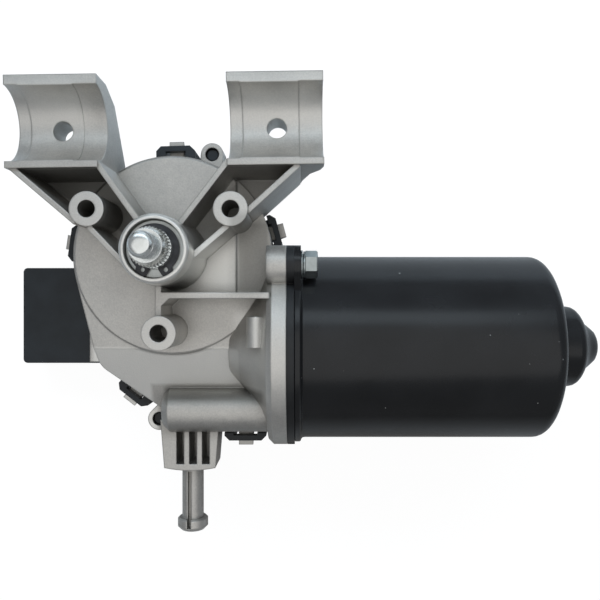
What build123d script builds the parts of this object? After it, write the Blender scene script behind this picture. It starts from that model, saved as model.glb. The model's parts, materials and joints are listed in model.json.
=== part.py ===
from build123d import *
import math
import os

# Wiper motor. Lengths are in millimetres and angles in degrees. The origin is on the output shaft's
# axis, in the plane of the three mounting faces. +Z runs out along the output shaft, and the motor's
# own axis runs along +X.

# Worm drive: one rolled thread on the armature shaft turns a moulded wheel on the output shaft
MODULE = 1.0
WHEEL_TEETH = 55
WORM_PITCH_R = 5.5
ADDENDUM = 1.0
WHEEL_DEDENDUM = 1.25
WORM_DEDENDUM = 1.2
TOOTH_THICKNESS = 1.36
THREAD_THICKNESS = 1.36
PRESSURE_ANGLE = 20.0
WHEEL_FACE = 8.0
WORM_LENGTH = 12.6
THREAD_ROOT_DEPTH = 0.4

# Running and seating clearances
RUN = 0.04
SLIP = 0.3
SEAT = 0.05

# Motor can, which the flange, card and screws follow
CAN_R = 33.0
CAN_WALL = 2.0
MAGNET_THICK = 4.0
AIR_GAP = 0.8

# Gear chamber and its joint with the cover
AXIS_DROP = 34.3
CHAMBER_R = 35.3
CHAMBER_TOP = -23.3
CHAMBER_EDGE = 0.8
ROOF = 3.2
SHELF_X = 22.4
SHELF_RUN = 2.0
SHELF_DROP = 1.6
CHAMBER_WALL = 3.0
JOINT_Z = -48.0
PLATE_TOP = -23.9
PLATE_SLOPE = 24.0
PLATE_CORNER = (-26.3, -39.8)
PLATE_CORNER_R = 7.0
PLATE_FOOT = (6.0, -65.2)
PLATE_RIGHT = 33.0

# Bell between the chamber and the motor flange
BELL_PROFILE = ((20.0, 10.3), (26.5, 16.5), (31.3, 22.7), (34.2, 29.0))
BELL_END_INSET = 2.6
BELL_WALL = 3.0
BELL_LUG_R = 3.4
BELL_LUG = (30.6, -21.5, -32.0, -12.8)

# Motor flange
FLANGE_X = 34.2
FLANGE_THICK = 6.6
FLANGE_OVERHANG = 2.5
FLANGE_CHAMFER = 1.8
FLANGE_WALL = 2.4
FLANGE_RECESS_INSET = 2.2
SCREW_STANDOFF = 5.5
SCREW_ANGLE = 41.4
SCREW_EAR_R = 6.4

# Half-round tunnel along the foot of the chamber
TUNNEL_R = 8.2
TUNNEL_Y = -56.0
TUNNEL_RISE = 2.0
TUNNEL_START_X = -4.6
TUNNEL_END_ROUND = 5.0

# Shaft tower
TOWER_TOP = 7.4
TOWER_R = 10.85
TOWER_FOOT_R = 12.6
TOWER_MOUTH_R = 9.25
TOWER_FLOOR = 4.2
TOWER_LIP = 0.7

# Three mounting bosses
BOSS_CIRCLE_R = 26.6
BOSS_ANGLES = (30.0, 150.0, 270.0)
BOSS_R = 5.6
BOSS_HOLE_R = 2.8
BOSS_HOLE_DEPTH = 18.0

# Ribs on the chamber roof
ROOF_RIB = 2.0
ROOF_RIB_TOP = -4.0
ROOF_RIB_X = -0.9
CROSS_RIB_Y = -14.4
RIB_CORNER = 2.5

# Half-round saddles for the 24 mm cross tube
SADDLE_R = 12.0
SADDLE_RELIEF = 0.25
SADDLE_WALL = 3.4
SADDLE_Y = 41.35
SADDLE_TILT = 0.8
SADDLE_FRONT_WALL = 2.4
SADDLE_X = {"left": (-49.4, -19.7), "right": (21.8, 52.9)}
SADDLE_LANDS = {"left": (4.2, 7.8), "right": (4.3, 7.9)}
SADDLE_HOLE_X = {"left": -34.6, "right": 37.5}
SADDLE_HOLE_R = 3.35
SADDLE_PAD_R = 6.2
SADDLE_PAD_DEPTH = 12.0
GUSSET_THICK = 3.2
GUSSET_SHOULDER_Z = -11.0
GUSSET_BEND = (52.4, -21.5)
FREE_END_SWEEP = ((0.0, -5.0), (1.0, -10.5), (4.3, -17.2), (6.8, -29.7))
FREE_END_FOOT = 7.4

# V-arms from the tower to the saddles, as open channels
ARM_WALL = 1.8
ARM_TOP = -1.2
ARM_FLOOR_TOP = -27.0
ARM_FLOOR = 2.8
ARM_BOTTOM = -34.6
ARM_OUTER_START = {"left": (-48.8, 27.7), "right": (44.9, 27.75)}
ARM_OUTER_END = {"left": (-26.9, 9.1), "right": (28.2, 12.6)}
ARM_LOWER_START = {"left": (-22.8, 7.8), "right": (22.4, 8.4)}
ARM_LOWER_END = {"left": (-9.6, -6.0), "right": (9.6, -2.6)}
ARM_INNER_START = {"left": (-20.4, 28.6), "right": (22.3, 29.2)}
ARM_INNER_END = {"left": (-7.0, 9.9), "right": (6.8, 9.0)}

# Locating peg with its ribbed cup
PEG_X = 4.8
PEG_Z = -39.6
PEG_R = 4.0
PEG_END_Y = -102.2
PEG_HEAD_R = 5.65
PEG_HEAD = 4.6
PEG_HEAD_BEVEL = 1.3
PEG_HEAD_EDGE = 0.6
PEG_SLOT = 1.4
PEG_SLOT_DEPTH = 2.2
CUP_HALF = (10.8, 9.4)
CUP_DEPTH_Z = 15.6
CUP_START_Y = -60.0
CUP_END_Y = -77.6
CUP_BULGE = 1.0
CUP_SLOT = 2.8
CUP_SLOT_PITCH = 4.7
CUP_SLOT_START_Y = -60.5
CUP_SLOT_END_Y = -76.2
CUP_SLOT_DEPTH = 12.0
CUP_SLOT_SHIFT = 2.4

# Ears for the cover's locating pins, and the small lug by the connector
EAR_R = 4.3
EAR_HOLE_R = 2.6
EAR_THICK = 6.0
EAR_CENTRES = ((11.7, 39.8), (-8.5, -61.3))
EAR_ROOTS = ((10.8, 31.0), (-2.0, -55.0))
SIDE_LUG = (-35.4, -39.6, -24.0, -28.6)
SIDE_LUG_THICK = 5.0

# Clip loops of the cover. Round the chamber: (angle that the wall faces, width, reach)
LOOPS = ((91.8, 14.4, 6.4), (15.0, 13.2, 3.4), (172.0, 14.0, 5.8))
DIAGONAL_LOOP_SHIFT = 14.3
DIAGONAL_LOOP_WIDTH = 13.8
DIAGONAL_LOOP_REACH = 4.9
FOOT_LOOP_X = 24.9
FOOT_LOOP_WIDTH = 15.6
FOOT_LOOP_REACH = 3.2
LOOP_THICK = 2.0
LOOP_LEG = 3.4
LOOP_RISE = 12.0
LOOP_BAR = 3.0
LOOP_BEVEL = 1.8
CATCH_WIDTH = 5.4
CATCH_LEAD = 2.2

# Cover and connector shell
COVER_WALL = 2.6
COVER_FLOOR = 2.8
COVER_EDGE = 1.4
COVER_GASKET = 1.0
COVER_INSET = 0.4
FLANGE_GAP = 0.8
CONNECTOR_X = -63.6
CONNECTOR_Y = (-40.7, -3.3)
CONNECTOR_TOP = -49.6
CONNECTOR_HEIGHT = 16.0
CONNECTOR_WALL = 2.0
CONNECTOR_CORNER = 3.4
SOCKET_DEPTH = 19.0
PIN_R = 2.1
PIN_TOP = -43.4
BLADE_COUNT = 5
BLADE_PITCH = 6.0
BLADE_WIDTH = 2.8
BLADE_THICK = 0.8
BLADE_TIP_INSET = 6.0
BLADE_TAIL_X = -26.0
CARRIER = (-24.0, 4.0, -10.0, 10.0)
CARRIER_THICK = 2.4
CARRIER_TOP = -46.0
FINGER_WIDTH = 2.4
FINGER_THICK = 0.5
FINGER_RADII = (11.5, 15.0, 18.5)

# Motor can
CAN_LIP = 1.6
CAN_LIP_THICK = 2.2
CAN_STRAIGHT_END = 128.5
CAN_CORNER = 5.0
CAN_FACE_X = 135.6
NOSE_R = 14.7
NOSE_SHOULDER_X = 144.4
NOSE_CONE_R = 9.0
NOSE_CONE_X = 149.2
NOSE_TIP_R = 5.6
NOSE_TIP_X = 154.0

# Brush card
CARD_THICK = 2.6
CARD_OVERHANG = 2.0
CARD_BORE_R = 14.0
CARD_TAB = 2.8
CARD_TAB_WIDTH = 5.0

# Output shaft and what it carries
SHAFT_R = 6.2
SHAFT_FOOT = -40.6
HUB_R = 14.0
SPLINE_R = 5.6
RING_GROOVE_DEPTH = 0.6
RING_THICK = 1.2
RING_WIDTH = 1.7
RING_LUG_R = 1.5
RING_LUG_SPREAD = 3.6
RING_LUG_Y = -6.4
RING_HOLE_R = 0.75
WASHER_THICK = 0.8
COLLAR_TOP = 14.6
CONE_R = 5.1
CONE_TOP = 18.4
THREAD_R = 4.0
THREAD_TOP = 25.9
THREAD_TIP_R = 2.9
THREAD_TIP = 1.4
SERRATIONS = 18
SERRATION_DEPTH = 0.35
SERRATION_FOOT = 10.6
BUSH_WALL = 1.8
UPPER_BUSH = (-6.0, 1.2)
SEAL_THICK = 2.0
PARK_DISC = (9.5, 19.5, 0.6)
PARK_NOTCH = 24.0
THRUST_THICK = 0.8

# Armature
ARMATURE_SHAFT_R = 4.0
ARMATURE_START = -22.4
ARMATURE_END = 148.2
WORM_BORE_R = 7.8
WORM_END_BUSH = (-24.4, -19.6, 6.5)
NECK_BUSH = (22.6, 29.2, 9.0)
NOSE_BUSH = (136.4, 143.4, 8.0)
RETAINER = (136.8, 139.2)
PAD_THICK = 1.6
COMMUTATOR = (46.0, 59.0, 11.0)
CORE_X = (66.0, 110.0)
CORE_SLOTS = 12
CORE_HUB_R = 12.0
CORE_TOOTH = 4.2
CORE_TIP = 2.0
CORE_MOUTH = 2.6
COIL_OVERHANG = 5.5
COIL_BORE_R = 9.5
COIL_INSET = 2.7
MAGNET_X = (63.0, 113.0)
MAGNET_ARC = 136.0

# Brushes on leaf arms
BRUSHES = {"common": (180.0, 1), "low": (0.0, -1), "high": (60.0, 1)}
BRUSH_X = (48.6, 55.6)
BRUSH_WIDTH = 5.0
BRUSH_LENGTH = 6.0
LEAF_THICK = 0.6
LEAF_REACH = 13.5
POST_WIDTH = 3.0
POST_DEPTH = 2.6
CHOKE_R = 3.0
CHOKE_LENGTH = 13.0
CHOKE_CIRCLE_R = 24.0
CHOKE_ANGLES = (-62.0, -118.0)
BREAKER = (9.0, 8.0, 4.5)
BREAKER_ANGLE = 118.0

# Cover-side screws of the can
SCREW_R = 2.5
SCREW_TIP_X = 35.4
SCREW_WASHER_R = 4.8
SCREW_WASHER = 1.0
SCREW_HEAD = 4.6
SCREW_FLATS = 8.0

# Places worked out from the sizes above
WHEEL_PITCH_R = WHEEL_TEETH * MODULE / 2
MOTOR_Y = -(WHEEL_PITCH_R + WORM_PITCH_R)
MOTOR_Z = -AXIS_DROP
BASE_Z = MOTOR_Z - CAN_R
FLANGE_END = FLANGE_X + FLANGE_THICK
CARD_END = FLANGE_END + CARD_THICK
LIP_END = CARD_END + CAN_LIP_THICK
CAN_INNER_R = CAN_R - CAN_WALL
ROOF_UNDER = CHAMBER_TOP - ROOF
ROOF_SEAT = CHAMBER_TOP - (SHELF_DROP + ROOF) / 2
TUNNEL_Z = MOTOR_Z + TUNNEL_RISE
CAVITY_R = CHAMBER_R - CHAMBER_WALL
WHEEL_TOP = MOTOR_Z + WHEEL_FACE / 2
WHEEL_UNDER = MOTOR_Z - WHEEL_FACE / 2
BUSH_R = SHAFT_R + BUSH_WALL
COVER_TOP = JOINT_Z - COVER_GASKET
RING_FOOT = TOWER_FLOOR + WASHER_THICK + SEAT
PARK_UNDER = WHEEL_UNDER - PARK_DISC[2]
MAGNET_BORE_R = CAN_INNER_R - MAGNET_THICK
CORE_R = MAGNET_BORE_R - AIR_GAP
COIL_R = CORE_R - COIL_INSET
CAN_LIP_R = CAN_R + CAN_LIP
BELL_END_R = CAN_R - BELL_END_INSET
FLANGE_R = CAN_R + FLANGE_OVERHANG
FLANGE_RECESS_R = CAN_R - FLANGE_RECESS_INSET
SCREW_CIRCLE_R = CAN_R + SCREW_STANDOFF
CARD_R = CAN_R + CARD_OVERHANG
CARD_TAB_R = CAN_R + CARD_TAB
SIDES = ("left", "right")


def ring(radius, low, high, bore=0.0):
    """A disc or ring about the output shaft's axis between two heights."""
    face = Circle(radius) - Circle(bore) if bore else Circle(radius)
    return extrude(Plane.XY.offset(low) * face, high - low)


def across(x):
    """The plane square to the motor's axis at a station: its first axis is +Y, its second is +Z."""
    return Plane(origin=(x, MOTOR_Y, MOTOR_Z), x_dir=(0, 1, 0), z_dir=(1, 0, 0))


def drum(radius, start, end, bore=0.0):
    """A disc or ring about the motor's axis between two stations."""
    face = Circle(radius) - Circle(bore) if bore else Circle(radius)
    return extrude(across(start) * face, end - start)


def turned(points):
    """A solid of revolution about the motor's axis, from (station, radius) points."""
    outline = [(x, 0.0, r) for x, r in points]
    profile = make_face(Polyline(*outline, close=True))
    return Pos(0, MOTOR_Y, MOTOR_Z) * revolve(profile, Axis.X)


def slab(x_low, y_low, x_high, y_high, low, high):
    """A block between two corners and two heights."""
    centre = Pos((x_low + x_high) / 2, (y_low + y_high) / 2, (low + high) / 2)
    return centre * Box(x_high - x_low, y_high - y_low, high - low)


def wall(start, end, thick, low, high):
    """A straight upright wall between two points of its middle line."""
    run, rise = end[0] - start[0], end[1] - start[1]
    middle = Pos((start[0] + end[0]) / 2, (start[1] + end[1]) / 2, (low + high) / 2)
    turn = Rot(0, 0, math.degrees(math.atan2(rise, run)))
    return middle * turn * Box(math.hypot(run, rise), thick, high - low)


def above(height):
    """Everything over a height, as a large block."""
    reach = 4 * CAN_STRAIGHT_END
    return Pos(0, 0, height + reach / 2) * Box(reach, reach, reach)


def screw_spots():
    """The two screw centres in the plane square to the motor's axis."""
    angles = (math.radians(SCREW_ANGLE), math.radians(SCREW_ANGLE + 180))
    return [(SCREW_CIRCLE_R * math.cos(a), SCREW_CIRCLE_R * math.sin(a)) for a in angles]


def boss_centre(angle):
    """A mounting boss's centre, seen along the output shaft."""
    turn = math.radians(angle)
    return BOSS_CIRCLE_R * math.cos(turn), BOSS_CIRCLE_R * math.sin(turn)


def diagonal():
    """The sloping foot wall of the plate: facing angle, distance from the shaft axis and middle."""
    (ax, ay), (bx, by) = PLATE_CORNER, PLATE_FOOT
    facing = math.atan2(by - ay, bx - ax) - math.pi / 2
    away = ax * math.cos(facing) + ay * math.sin(facing)
    along = -ax * math.sin(facing) + ay * math.cos(facing)
    return math.degrees(facing), away, along


def footprint(inset=0.0):
    """The outline shared by the casting's lower rim, the gasket and the cover, moved in by an inset."""
    reach = math.hypot(*PLATE_CORNER)
    turn = math.atan2(PLATE_CORNER[1], PLATE_CORNER[0]) - math.acos(CHAMBER_R / reach)
    tangent = (CHAMBER_R * math.cos(turn), CHAMBER_R * math.sin(turn))
    right_top = (PLATE_RIGHT, -math.sqrt(max(CHAMBER_R**2 - PLATE_RIGHT**2, 0.0)))
    corners = (tangent, PLATE_CORNER, PLATE_FOOT, (PLATE_RIGHT, PLATE_FOOT[1]), right_top, (0, 0))
    plate = make_face(Polyline(*corners, close=True))
    corner = plate.vertices().sort_by_distance((*PLATE_CORNER, 0))[0]
    plate = fillet(corner, PLATE_CORNER_R)
    outline = plate + Circle(CHAMBER_R)
    return offset(outline, -inset, kind=Kind.INTERSECTION) if inset else outline


def plate_block():
    """The worm-side plate beside the gear chamber, with its top sloping down towards the foot."""
    block = extrude(Plane.XY.offset(JOINT_Z) * footprint(), PLATE_TOP - JOINT_Z)
    reach = 4 * CHAMBER_R
    cutter = Pos(0, -reach / 2, reach / 2) * Box(2 * reach, reach, reach)
    return block - Pos(0, MOTOR_Y, PLATE_TOP) * Rot(PLATE_SLOPE, 0, 0) * cutter


def bell():
    """The flared neck between the chamber and the motor flange, cut flat at the cover joint."""
    end_x = FLANGE_X + FLANGE_WALL
    cone = turned(((BELL_PROFILE[0][0], 0), *BELL_PROFILE, (end_x, BELL_END_R), (end_x, 0)))
    x, y_high, y_low, z = BELL_LUG
    lug = Pos(x, (y_high + y_low) / 2, z) * Rot(90, 0, 0) * Cylinder(BELL_LUG_R, y_high - y_low)
    foot = slab(x - BELL_LUG_R, y_low, x + BELL_LUG_R, y_high, z - 2 * BELL_LUG_R, z)
    return (cone + lug + foot) & above(JOINT_Z)


def flange():
    """The round motor flange with its two screw ears and the flat that it lies on."""
    rim = drum(FLANGE_R, FLANGE_X, FLANGE_END)
    rim = chamfer(rim.edges().group_by(Axis.X)[0], FLANGE_CHAMFER)
    for y, z in screw_spots():
        rim += extrude(across(FLANGE_X) * Pos(y, z) * Circle(SCREW_EAR_R), FLANGE_THICK)
    return rim & above(BASE_Z)


def side_tunnel():
    """The half-round tunnel along the foot of the chamber, closed at its left end."""
    end = PLATE_RIGHT + 1
    near, far = TUNNEL_Y + TUNNEL_R, TUNNEL_Y - TUNNEL_R
    bar = Cylinder(TUNNEL_R, end - TUNNEL_START_X)
    bar = chamfer(bar.edges().group_by(Axis.Z)[0], TUNNEL_END_ROUND / 2)
    bar = Pos((TUNNEL_START_X + end) / 2, TUNNEL_Y, TUNNEL_Z) * Rot(0, 90, 0) * bar
    skirt = slab(TUNNEL_START_X + TUNNEL_END_ROUND, far, end, near, JOINT_Z, TUNNEL_Z)
    return (bar + skirt) & above(JOINT_Z)


def roof():
    """The chamber's drum, bevelled at its roof, with a shallow step down past the cross rib."""
    body = ring(CHAMBER_R, JOINT_Z, CHAMBER_TOP)
    body = chamfer(body.edges().group_by(Axis.Z)[-1], CHAMBER_EDGE)
    reach = CHAMBER_R + 1
    step = (
        (SHELF_X, CHAMBER_TOP + 1),
        (SHELF_X, CHAMBER_TOP),
        (SHELF_X + SHELF_RUN, CHAMBER_TOP - SHELF_DROP),
        (reach, CHAMBER_TOP - SHELF_DROP),
        (reach, CHAMBER_TOP + 1),
    )
    plane = Plane(origin=(0, CROSS_RIB_Y, 0), x_dir=(1, 0, 0), z_dir=(0, -1, 0))
    return body - extrude(plane * make_face(Polyline(*step, close=True)), CROSS_RIB_Y - reach)


def tower():
    """The shaft tower, tapered from its foot and bevelled at its mouth."""
    tube = Cone(TOWER_FOOT_R, TOWER_R, TOWER_TOP - ROOF_SEAT)
    tube = Pos(0, 0, (ROOF_SEAT + TOWER_TOP) / 2) * tube
    return chamfer(tube.edges().group_by(Axis.Z)[-1], TOWER_LIP)


def tower_bore():
    """The stepped bore through the tower: bush seats, seal seat and the open mouth."""
    return ring(BUSH_R, ROOF_UNDER - 1, TOWER_FLOOR) + ring(TOWER_MOUTH_R, TOWER_FLOOR, TOWER_TOP + 1)


def boss(angle):
    """One mounting boss standing on the chamber roof."""
    return Pos(*boss_centre(angle)) * ring(BOSS_R, ROOF_SEAT, 0)


def boss_hole(angle):
    """The blind screw hole of one boss."""
    return Pos(*boss_centre(angle)) * ring(BOSS_HOLE_R, -BOSS_HOLE_DEPTH, 1)


def roof_ribs():
    """The rib from the tower to the lower boss, the cross rib to the flange and their corner web."""
    meet = (ROOF_RIB_X, CROSS_RIB_Y)
    ribs = wall((ROOF_RIB_X, 0), (ROOF_RIB_X, -BOSS_CIRCLE_R), ROOF_RIB, ROOF_SEAT, ROOF_RIB_TOP)
    ribs += wall(meet, (FLANGE_X + 1, CROSS_RIB_Y), ROOF_RIB, ROOF_SEAT, ROOF_RIB_TOP)
    reach = ROOF_RIB + RIB_CORNER
    corner = (meet, (ROOF_RIB_X, CROSS_RIB_Y - reach), (ROOF_RIB_X + reach, CROSS_RIB_Y))
    web = Plane.XY.offset(ROOF_SEAT) * make_face(Polyline(*corner, close=True))
    return ribs + extrude(web, ROOF_RIB_TOP - ROOF_SEAT)


def gusset(x_low, x_high):
    """The end web of a saddle: full depth at the arm, swept up to the saddle's back edge."""
    front = SADDLE_Y - SADDLE_R - SADDLE_FRONT_WALL
    back = SADDLE_Y + SADDLE_R + SADDLE_WALL
    outline = (
        (front, 0),
        (back, 0),
        (back, GUSSET_SHOULDER_Z),
        GUSSET_BEND,
        (front + 3 * SADDLE_FRONT_WALL, ARM_BOTTOM),
        (front, ARM_BOTTOM),
    )
    plane = Plane(origin=(x_low, 0, 0), x_dir=(0, 1, 0), z_dir=(1, 0, 0))
    return extrude(plane * make_face(Polyline(*outline, close=True)), x_high - x_low)


def front_wall(side):
    """A saddle's front wall down to the arm, with the right one's free end swept in."""
    low, high = SADDLE_X[side]
    ends = [(high, ARM_BOTTOM)]
    if side == "right":
        ends = [(high - inset, z) for inset, z in FREE_END_SWEEP]
        ends.append((high - FREE_END_FOOT, ARM_BOTTOM))
    outline = ((low, 0), (high, 0), *ends, (low, ARM_BOTTOM))
    front = SADDLE_Y - SADDLE_R - SADDLE_FRONT_WALL
    plane = Plane(origin=(0, front, 0), x_dir=(1, 0, 0), z_dir=(0, -1, 0))
    return extrude(plane * make_face(Polyline(*outline, close=True)), -SADDLE_FRONT_WALL - 1)


def tilted(body):
    """A saddle's form turned to the cross tube's slight slope across the motor."""
    return Pos(0, SADDLE_Y, 0) * Rot(0, 0, SADDLE_TILT) * Pos(0, -SADDLE_Y, 0) * body


def saddle(side):
    """A half-round saddle with end webs, front wall and the pad round its screw hole."""
    low, high = SADDLE_X[side]
    front = SADDLE_Y - SADDLE_R - SADDLE_FRONT_WALL
    along = Plane(origin=(low, SADDLE_Y, 0), x_dir=(0, 1, 0), z_dir=(1, 0, 0))
    body = extrude(along * Circle(SADDLE_R + SADDLE_WALL), high - low)
    body -= slab(low - 1, front - SADDLE_R, high + 1, front, -2 * SADDLE_R, 1)
    body += front_wall(side)
    if side == "left":
        body += gusset(low, low + GUSSET_THICK) + gusset(high - GUSSET_THICK, high)
    else:
        body += gusset(low, low + GUSSET_THICK)
    pad_foot = -SADDLE_R - SADDLE_PAD_DEPTH
    body += Pos(SADDLE_HOLE_X[side], SADDLE_Y, pad_foot / 2) * Cylinder(SADDLE_PAD_R, -pad_foot)
    return tilted(body - above(0))


def saddle_trough(side):
    """The tube's seat in a saddle: a middle land, shallow reliefs at both ends, and the screw hole."""
    low, high = SADDLE_X[side]
    start, stop = SADDLE_LANDS[side]
    along = Plane(origin=(low - 1, SADDLE_Y, 0), x_dir=(0, 1, 0), z_dir=(1, 0, 0))
    seat = extrude(along * Circle(SADDLE_R), high - low + 2)
    seat += extrude(along * Circle(SADDLE_R + SADDLE_RELIEF), start + 1)
    far = Plane(origin=(high - stop, SADDLE_Y, 0), x_dir=(0, 1, 0), z_dir=(1, 0, 0))
    seat += extrude(far * Circle(SADDLE_R + SADDLE_RELIEF), stop + 1)
    depth = SADDLE_R + SADDLE_PAD_DEPTH + 1
    hole = Pos(SADDLE_HOLE_X[side], SADDLE_Y, -depth / 2) * Cylinder(SADDLE_HOLE_R, depth)
    return tilted(seat + hole)


def arm(side):
    """One open-channel arm: outer wall, lower wall, inner wall and the floor between them."""
    front = SADDLE_Y - SADDLE_R - SADDLE_FRONT_WALL
    walls = wall(ARM_OUTER_START[side], ARM_OUTER_END[side], ARM_WALL, ARM_BOTTOM, ARM_TOP)
    walls += wall(ARM_LOWER_START[side], ARM_LOWER_END[side], ARM_WALL, ARM_BOTTOM, ARM_TOP)
    walls += wall(ARM_INNER_START[side], ARM_INNER_END[side], ARM_WALL, ARM_BOTTOM, ARM_TOP)
    outer_foot = (ARM_OUTER_START[side][0], front + 1)
    inner_foot = (ARM_INNER_START[side][0], front + 1)
    ends = (outer_foot, ARM_OUTER_START[side], ARM_OUTER_END[side], ARM_LOWER_END[side], (0, 0), inner_foot)
    floor = make_face(Polyline(*ends, close=True))
    return walls + extrude(Plane.XY.offset(ARM_FLOOR_TOP - ARM_FLOOR) * floor, ARM_FLOOR)


def ear(centre, root):
    """A small ear on the lower rim for one of the cover's locating pins."""
    top = JOINT_Z + EAR_THICK
    web = wall(centre, root, 2 * EAR_R, JOINT_Z, top)
    return web + Pos(*centre, (JOINT_Z + top) / 2) * Cylinder(EAR_R, EAR_THICK)


def loops():
    """Each clip loop as (facing angle, wall distance, shift along the wall, width, reach)."""
    found = [(facing, CHAMBER_R, 0.0, width, reach) for facing, width, reach in LOOPS]
    facing, away, along = diagonal()
    shift = along + DIAGONAL_LOOP_SHIFT
    found.append((facing, away, shift, DIAGONAL_LOOP_WIDTH, DIAGONAL_LOOP_REACH))
    found.append((-90.0, -PLATE_FOOT[1], FOOT_LOOP_X, FOOT_LOOP_WIDTH, FOOT_LOOP_REACH))
    return found


def on_wall(facing, away, shift):
    """The place of a feature on an outer wall: +X out of the wall, +Y along it."""
    return Rot(0, 0, facing) * Pos(away, shift, 0)


def catches():
    """The cast catches that the clip loops hook over, wedge-shaped towards the cover."""
    found = []
    top = JOINT_Z + LOOP_RISE - LOOP_BAR - SLIP
    plane = Plane(origin=(0, -CATCH_WIDTH / 2, 0), x_dir=(1, 0, 0), z_dir=(0, -1, 0))
    for facing, away, shift, _, reach in loops():
        nose = reach + CATCH_LEAD
        outline = ((-1, JOINT_Z + 1), (0, JOINT_Z + 1), (nose, top - 1), (nose, top), (-1, top))
        wedge = extrude(plane * make_face(Polyline(*outline, close=True)), -CATCH_WIDTH)
        found.append(on_wall(facing, away, shift) * wedge)
    return found


def cup():
    """The ribbed cup that carries the locating peg, hollowed by slots between its ribs."""
    start_half, end_half = CUP_HALF
    left_end, right_end = (PEG_X - end_half, CUP_END_Y), (PEG_X + end_half, CUP_END_Y)
    left_start, right_start = (PEG_X - start_half, CUP_START_Y), (PEG_X + start_half, CUP_START_Y)
    outline = Polyline(left_end, left_start, right_start, right_end)
    bulge = ThreePointArc(right_end, (PEG_X, CUP_END_Y - CUP_BULGE), left_end)
    low = PEG_Z - CUP_DEPTH_Z / 2
    top = low + CUP_DEPTH_Z
    body = extrude(Plane.XY.offset(low) * make_face(outline + bulge), CUP_DEPTH_Z)
    for step in (-1, 0, 1):
        x = PEG_X + CUP_SLOT_SHIFT / 2 + step * CUP_SLOT_PITCH - CUP_SLOT / 2
        body -= slab(x, CUP_SLOT_END_Y, x + CUP_SLOT, CUP_SLOT_START_Y, top - CUP_SLOT_DEPTH, top)
    return body


def peg():
    """The slotted locating peg with its domed head."""
    shank = Rot(90, 0, 0) * Cylinder(PEG_R, CUP_END_Y - PEG_END_Y - 1)
    shank = Pos(PEG_X, (CUP_END_Y + PEG_END_Y) / 2, PEG_Z) * shank
    head = Cylinder(PEG_HEAD_R, PEG_HEAD)
    head = chamfer(head.edges().group_by(Axis.Z)[-1], PEG_HEAD_BEVEL)
    head = chamfer(head.edges().group_by(Axis.Z)[0], PEG_HEAD_EDGE)
    head = Pos(PEG_X, PEG_END_Y + PEG_HEAD / 2, PEG_Z) * Rot(90, 0, 0) * head
    top = PEG_Z + PEG_HEAD_R + 1
    foot = PEG_Z + PEG_R - PEG_SLOT_DEPTH
    start, end = PEG_END_Y + PEG_HEAD_BEVEL, CUP_END_Y - CUP_BULGE - PEG_SLOT
    return shank + head - slab(PEG_X - PEG_SLOT, start, PEG_X, end, foot, top)


def inner_spaces():
    """What is cored out of the casting: wheel chamber, worm bore, bush seats, bell and side tunnel."""
    space = ring(CAVITY_R, JOINT_Z - 1, ROOF_UNDER)
    space += drum(WORM_BORE_R, WORM_END_BUSH[1], NECK_BUSH[0] + 1)
    space += drum(WORM_END_BUSH[2], WORM_END_BUSH[0], WORM_END_BUSH[1] + 1)
    space += drum(NECK_BUSH[2], NECK_BUSH[0], NECK_BUSH[1])
    flare = turned(
        (
            (NECK_BUSH[1], 0),
            (NECK_BUSH[1], ARMATURE_SHAFT_R + BELL_WALL),
            (FLANGE_X + FLANGE_WALL, BELL_END_R - 2 * BELL_WALL),
            (FLANGE_X + FLANGE_WALL, 0),
        )
    )
    space += flare & above(JOINT_Z + BELL_WALL)
    space += drum(FLANGE_RECESS_R, FLANGE_X + FLANGE_WALL, FLANGE_END + 1)
    tunnel = slab(
        TUNNEL_START_X + TUNNEL_END_ROUND + CHAMBER_WALL,
        TUNNEL_Y - TUNNEL_R + CHAMBER_WALL,
        PLATE_RIGHT - CHAMBER_WALL,
        TUNNEL_Y + TUNNEL_R - CHAMBER_WALL,
        JOINT_Z - 1,
        MOTOR_Z + CHAMBER_WALL,
    )
    return space + tunnel


def gear_housing():
    """The die-cast body: chamber, tower, arms, saddles, bosses, bell, flange, side tunnel and peg."""
    body = roof() + plate_block() + bell() + flange() + side_tunnel() + tower() + roof_ribs()
    for side in SIDES:
        body += arm(side)
        body += saddle(side)
    for angle in BOSS_ANGLES:
        body += boss(angle)
    for centre, root in zip(EAR_CENTRES, EAR_ROOTS):
        body += ear(centre, root)
    for wedge in catches():
        body += wedge
    body += slab(*SIDE_LUG, JOINT_Z, JOINT_Z + SIDE_LUG_THICK)
    body += cup() + peg()
    body -= inner_spaces()
    body -= tower_bore()
    for angle in BOSS_ANGLES:
        body -= boss_hole(angle)
    for side in SIDES:
        body -= saddle_trough(side)
    for x, y in EAR_CENTRES:
        body -= Pos(x, y, JOINT_Z + EAR_THICK / 2) * Cylinder(EAR_HOLE_R, EAR_THICK + 2)
    for y, z in screw_spots():
        hole = across(SCREW_TIP_X) * Pos(y, z) * Circle(SCREW_R)
        body -= extrude(hole, FLANGE_END - SCREW_TIP_X + 1)
    return body


def cover_outline(inset=0.0):
    """The cover's outline: the casting's footprint, kept clear of the motor flange."""
    reach = 4 * CHAMBER_R
    limit = PLATE_RIGHT - inset + COVER_INSET - FLANGE_GAP / 4
    return footprint(COVER_INSET + inset) & Pos(limit - reach / 2, 0) * Rectangle(reach, reach)


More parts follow.
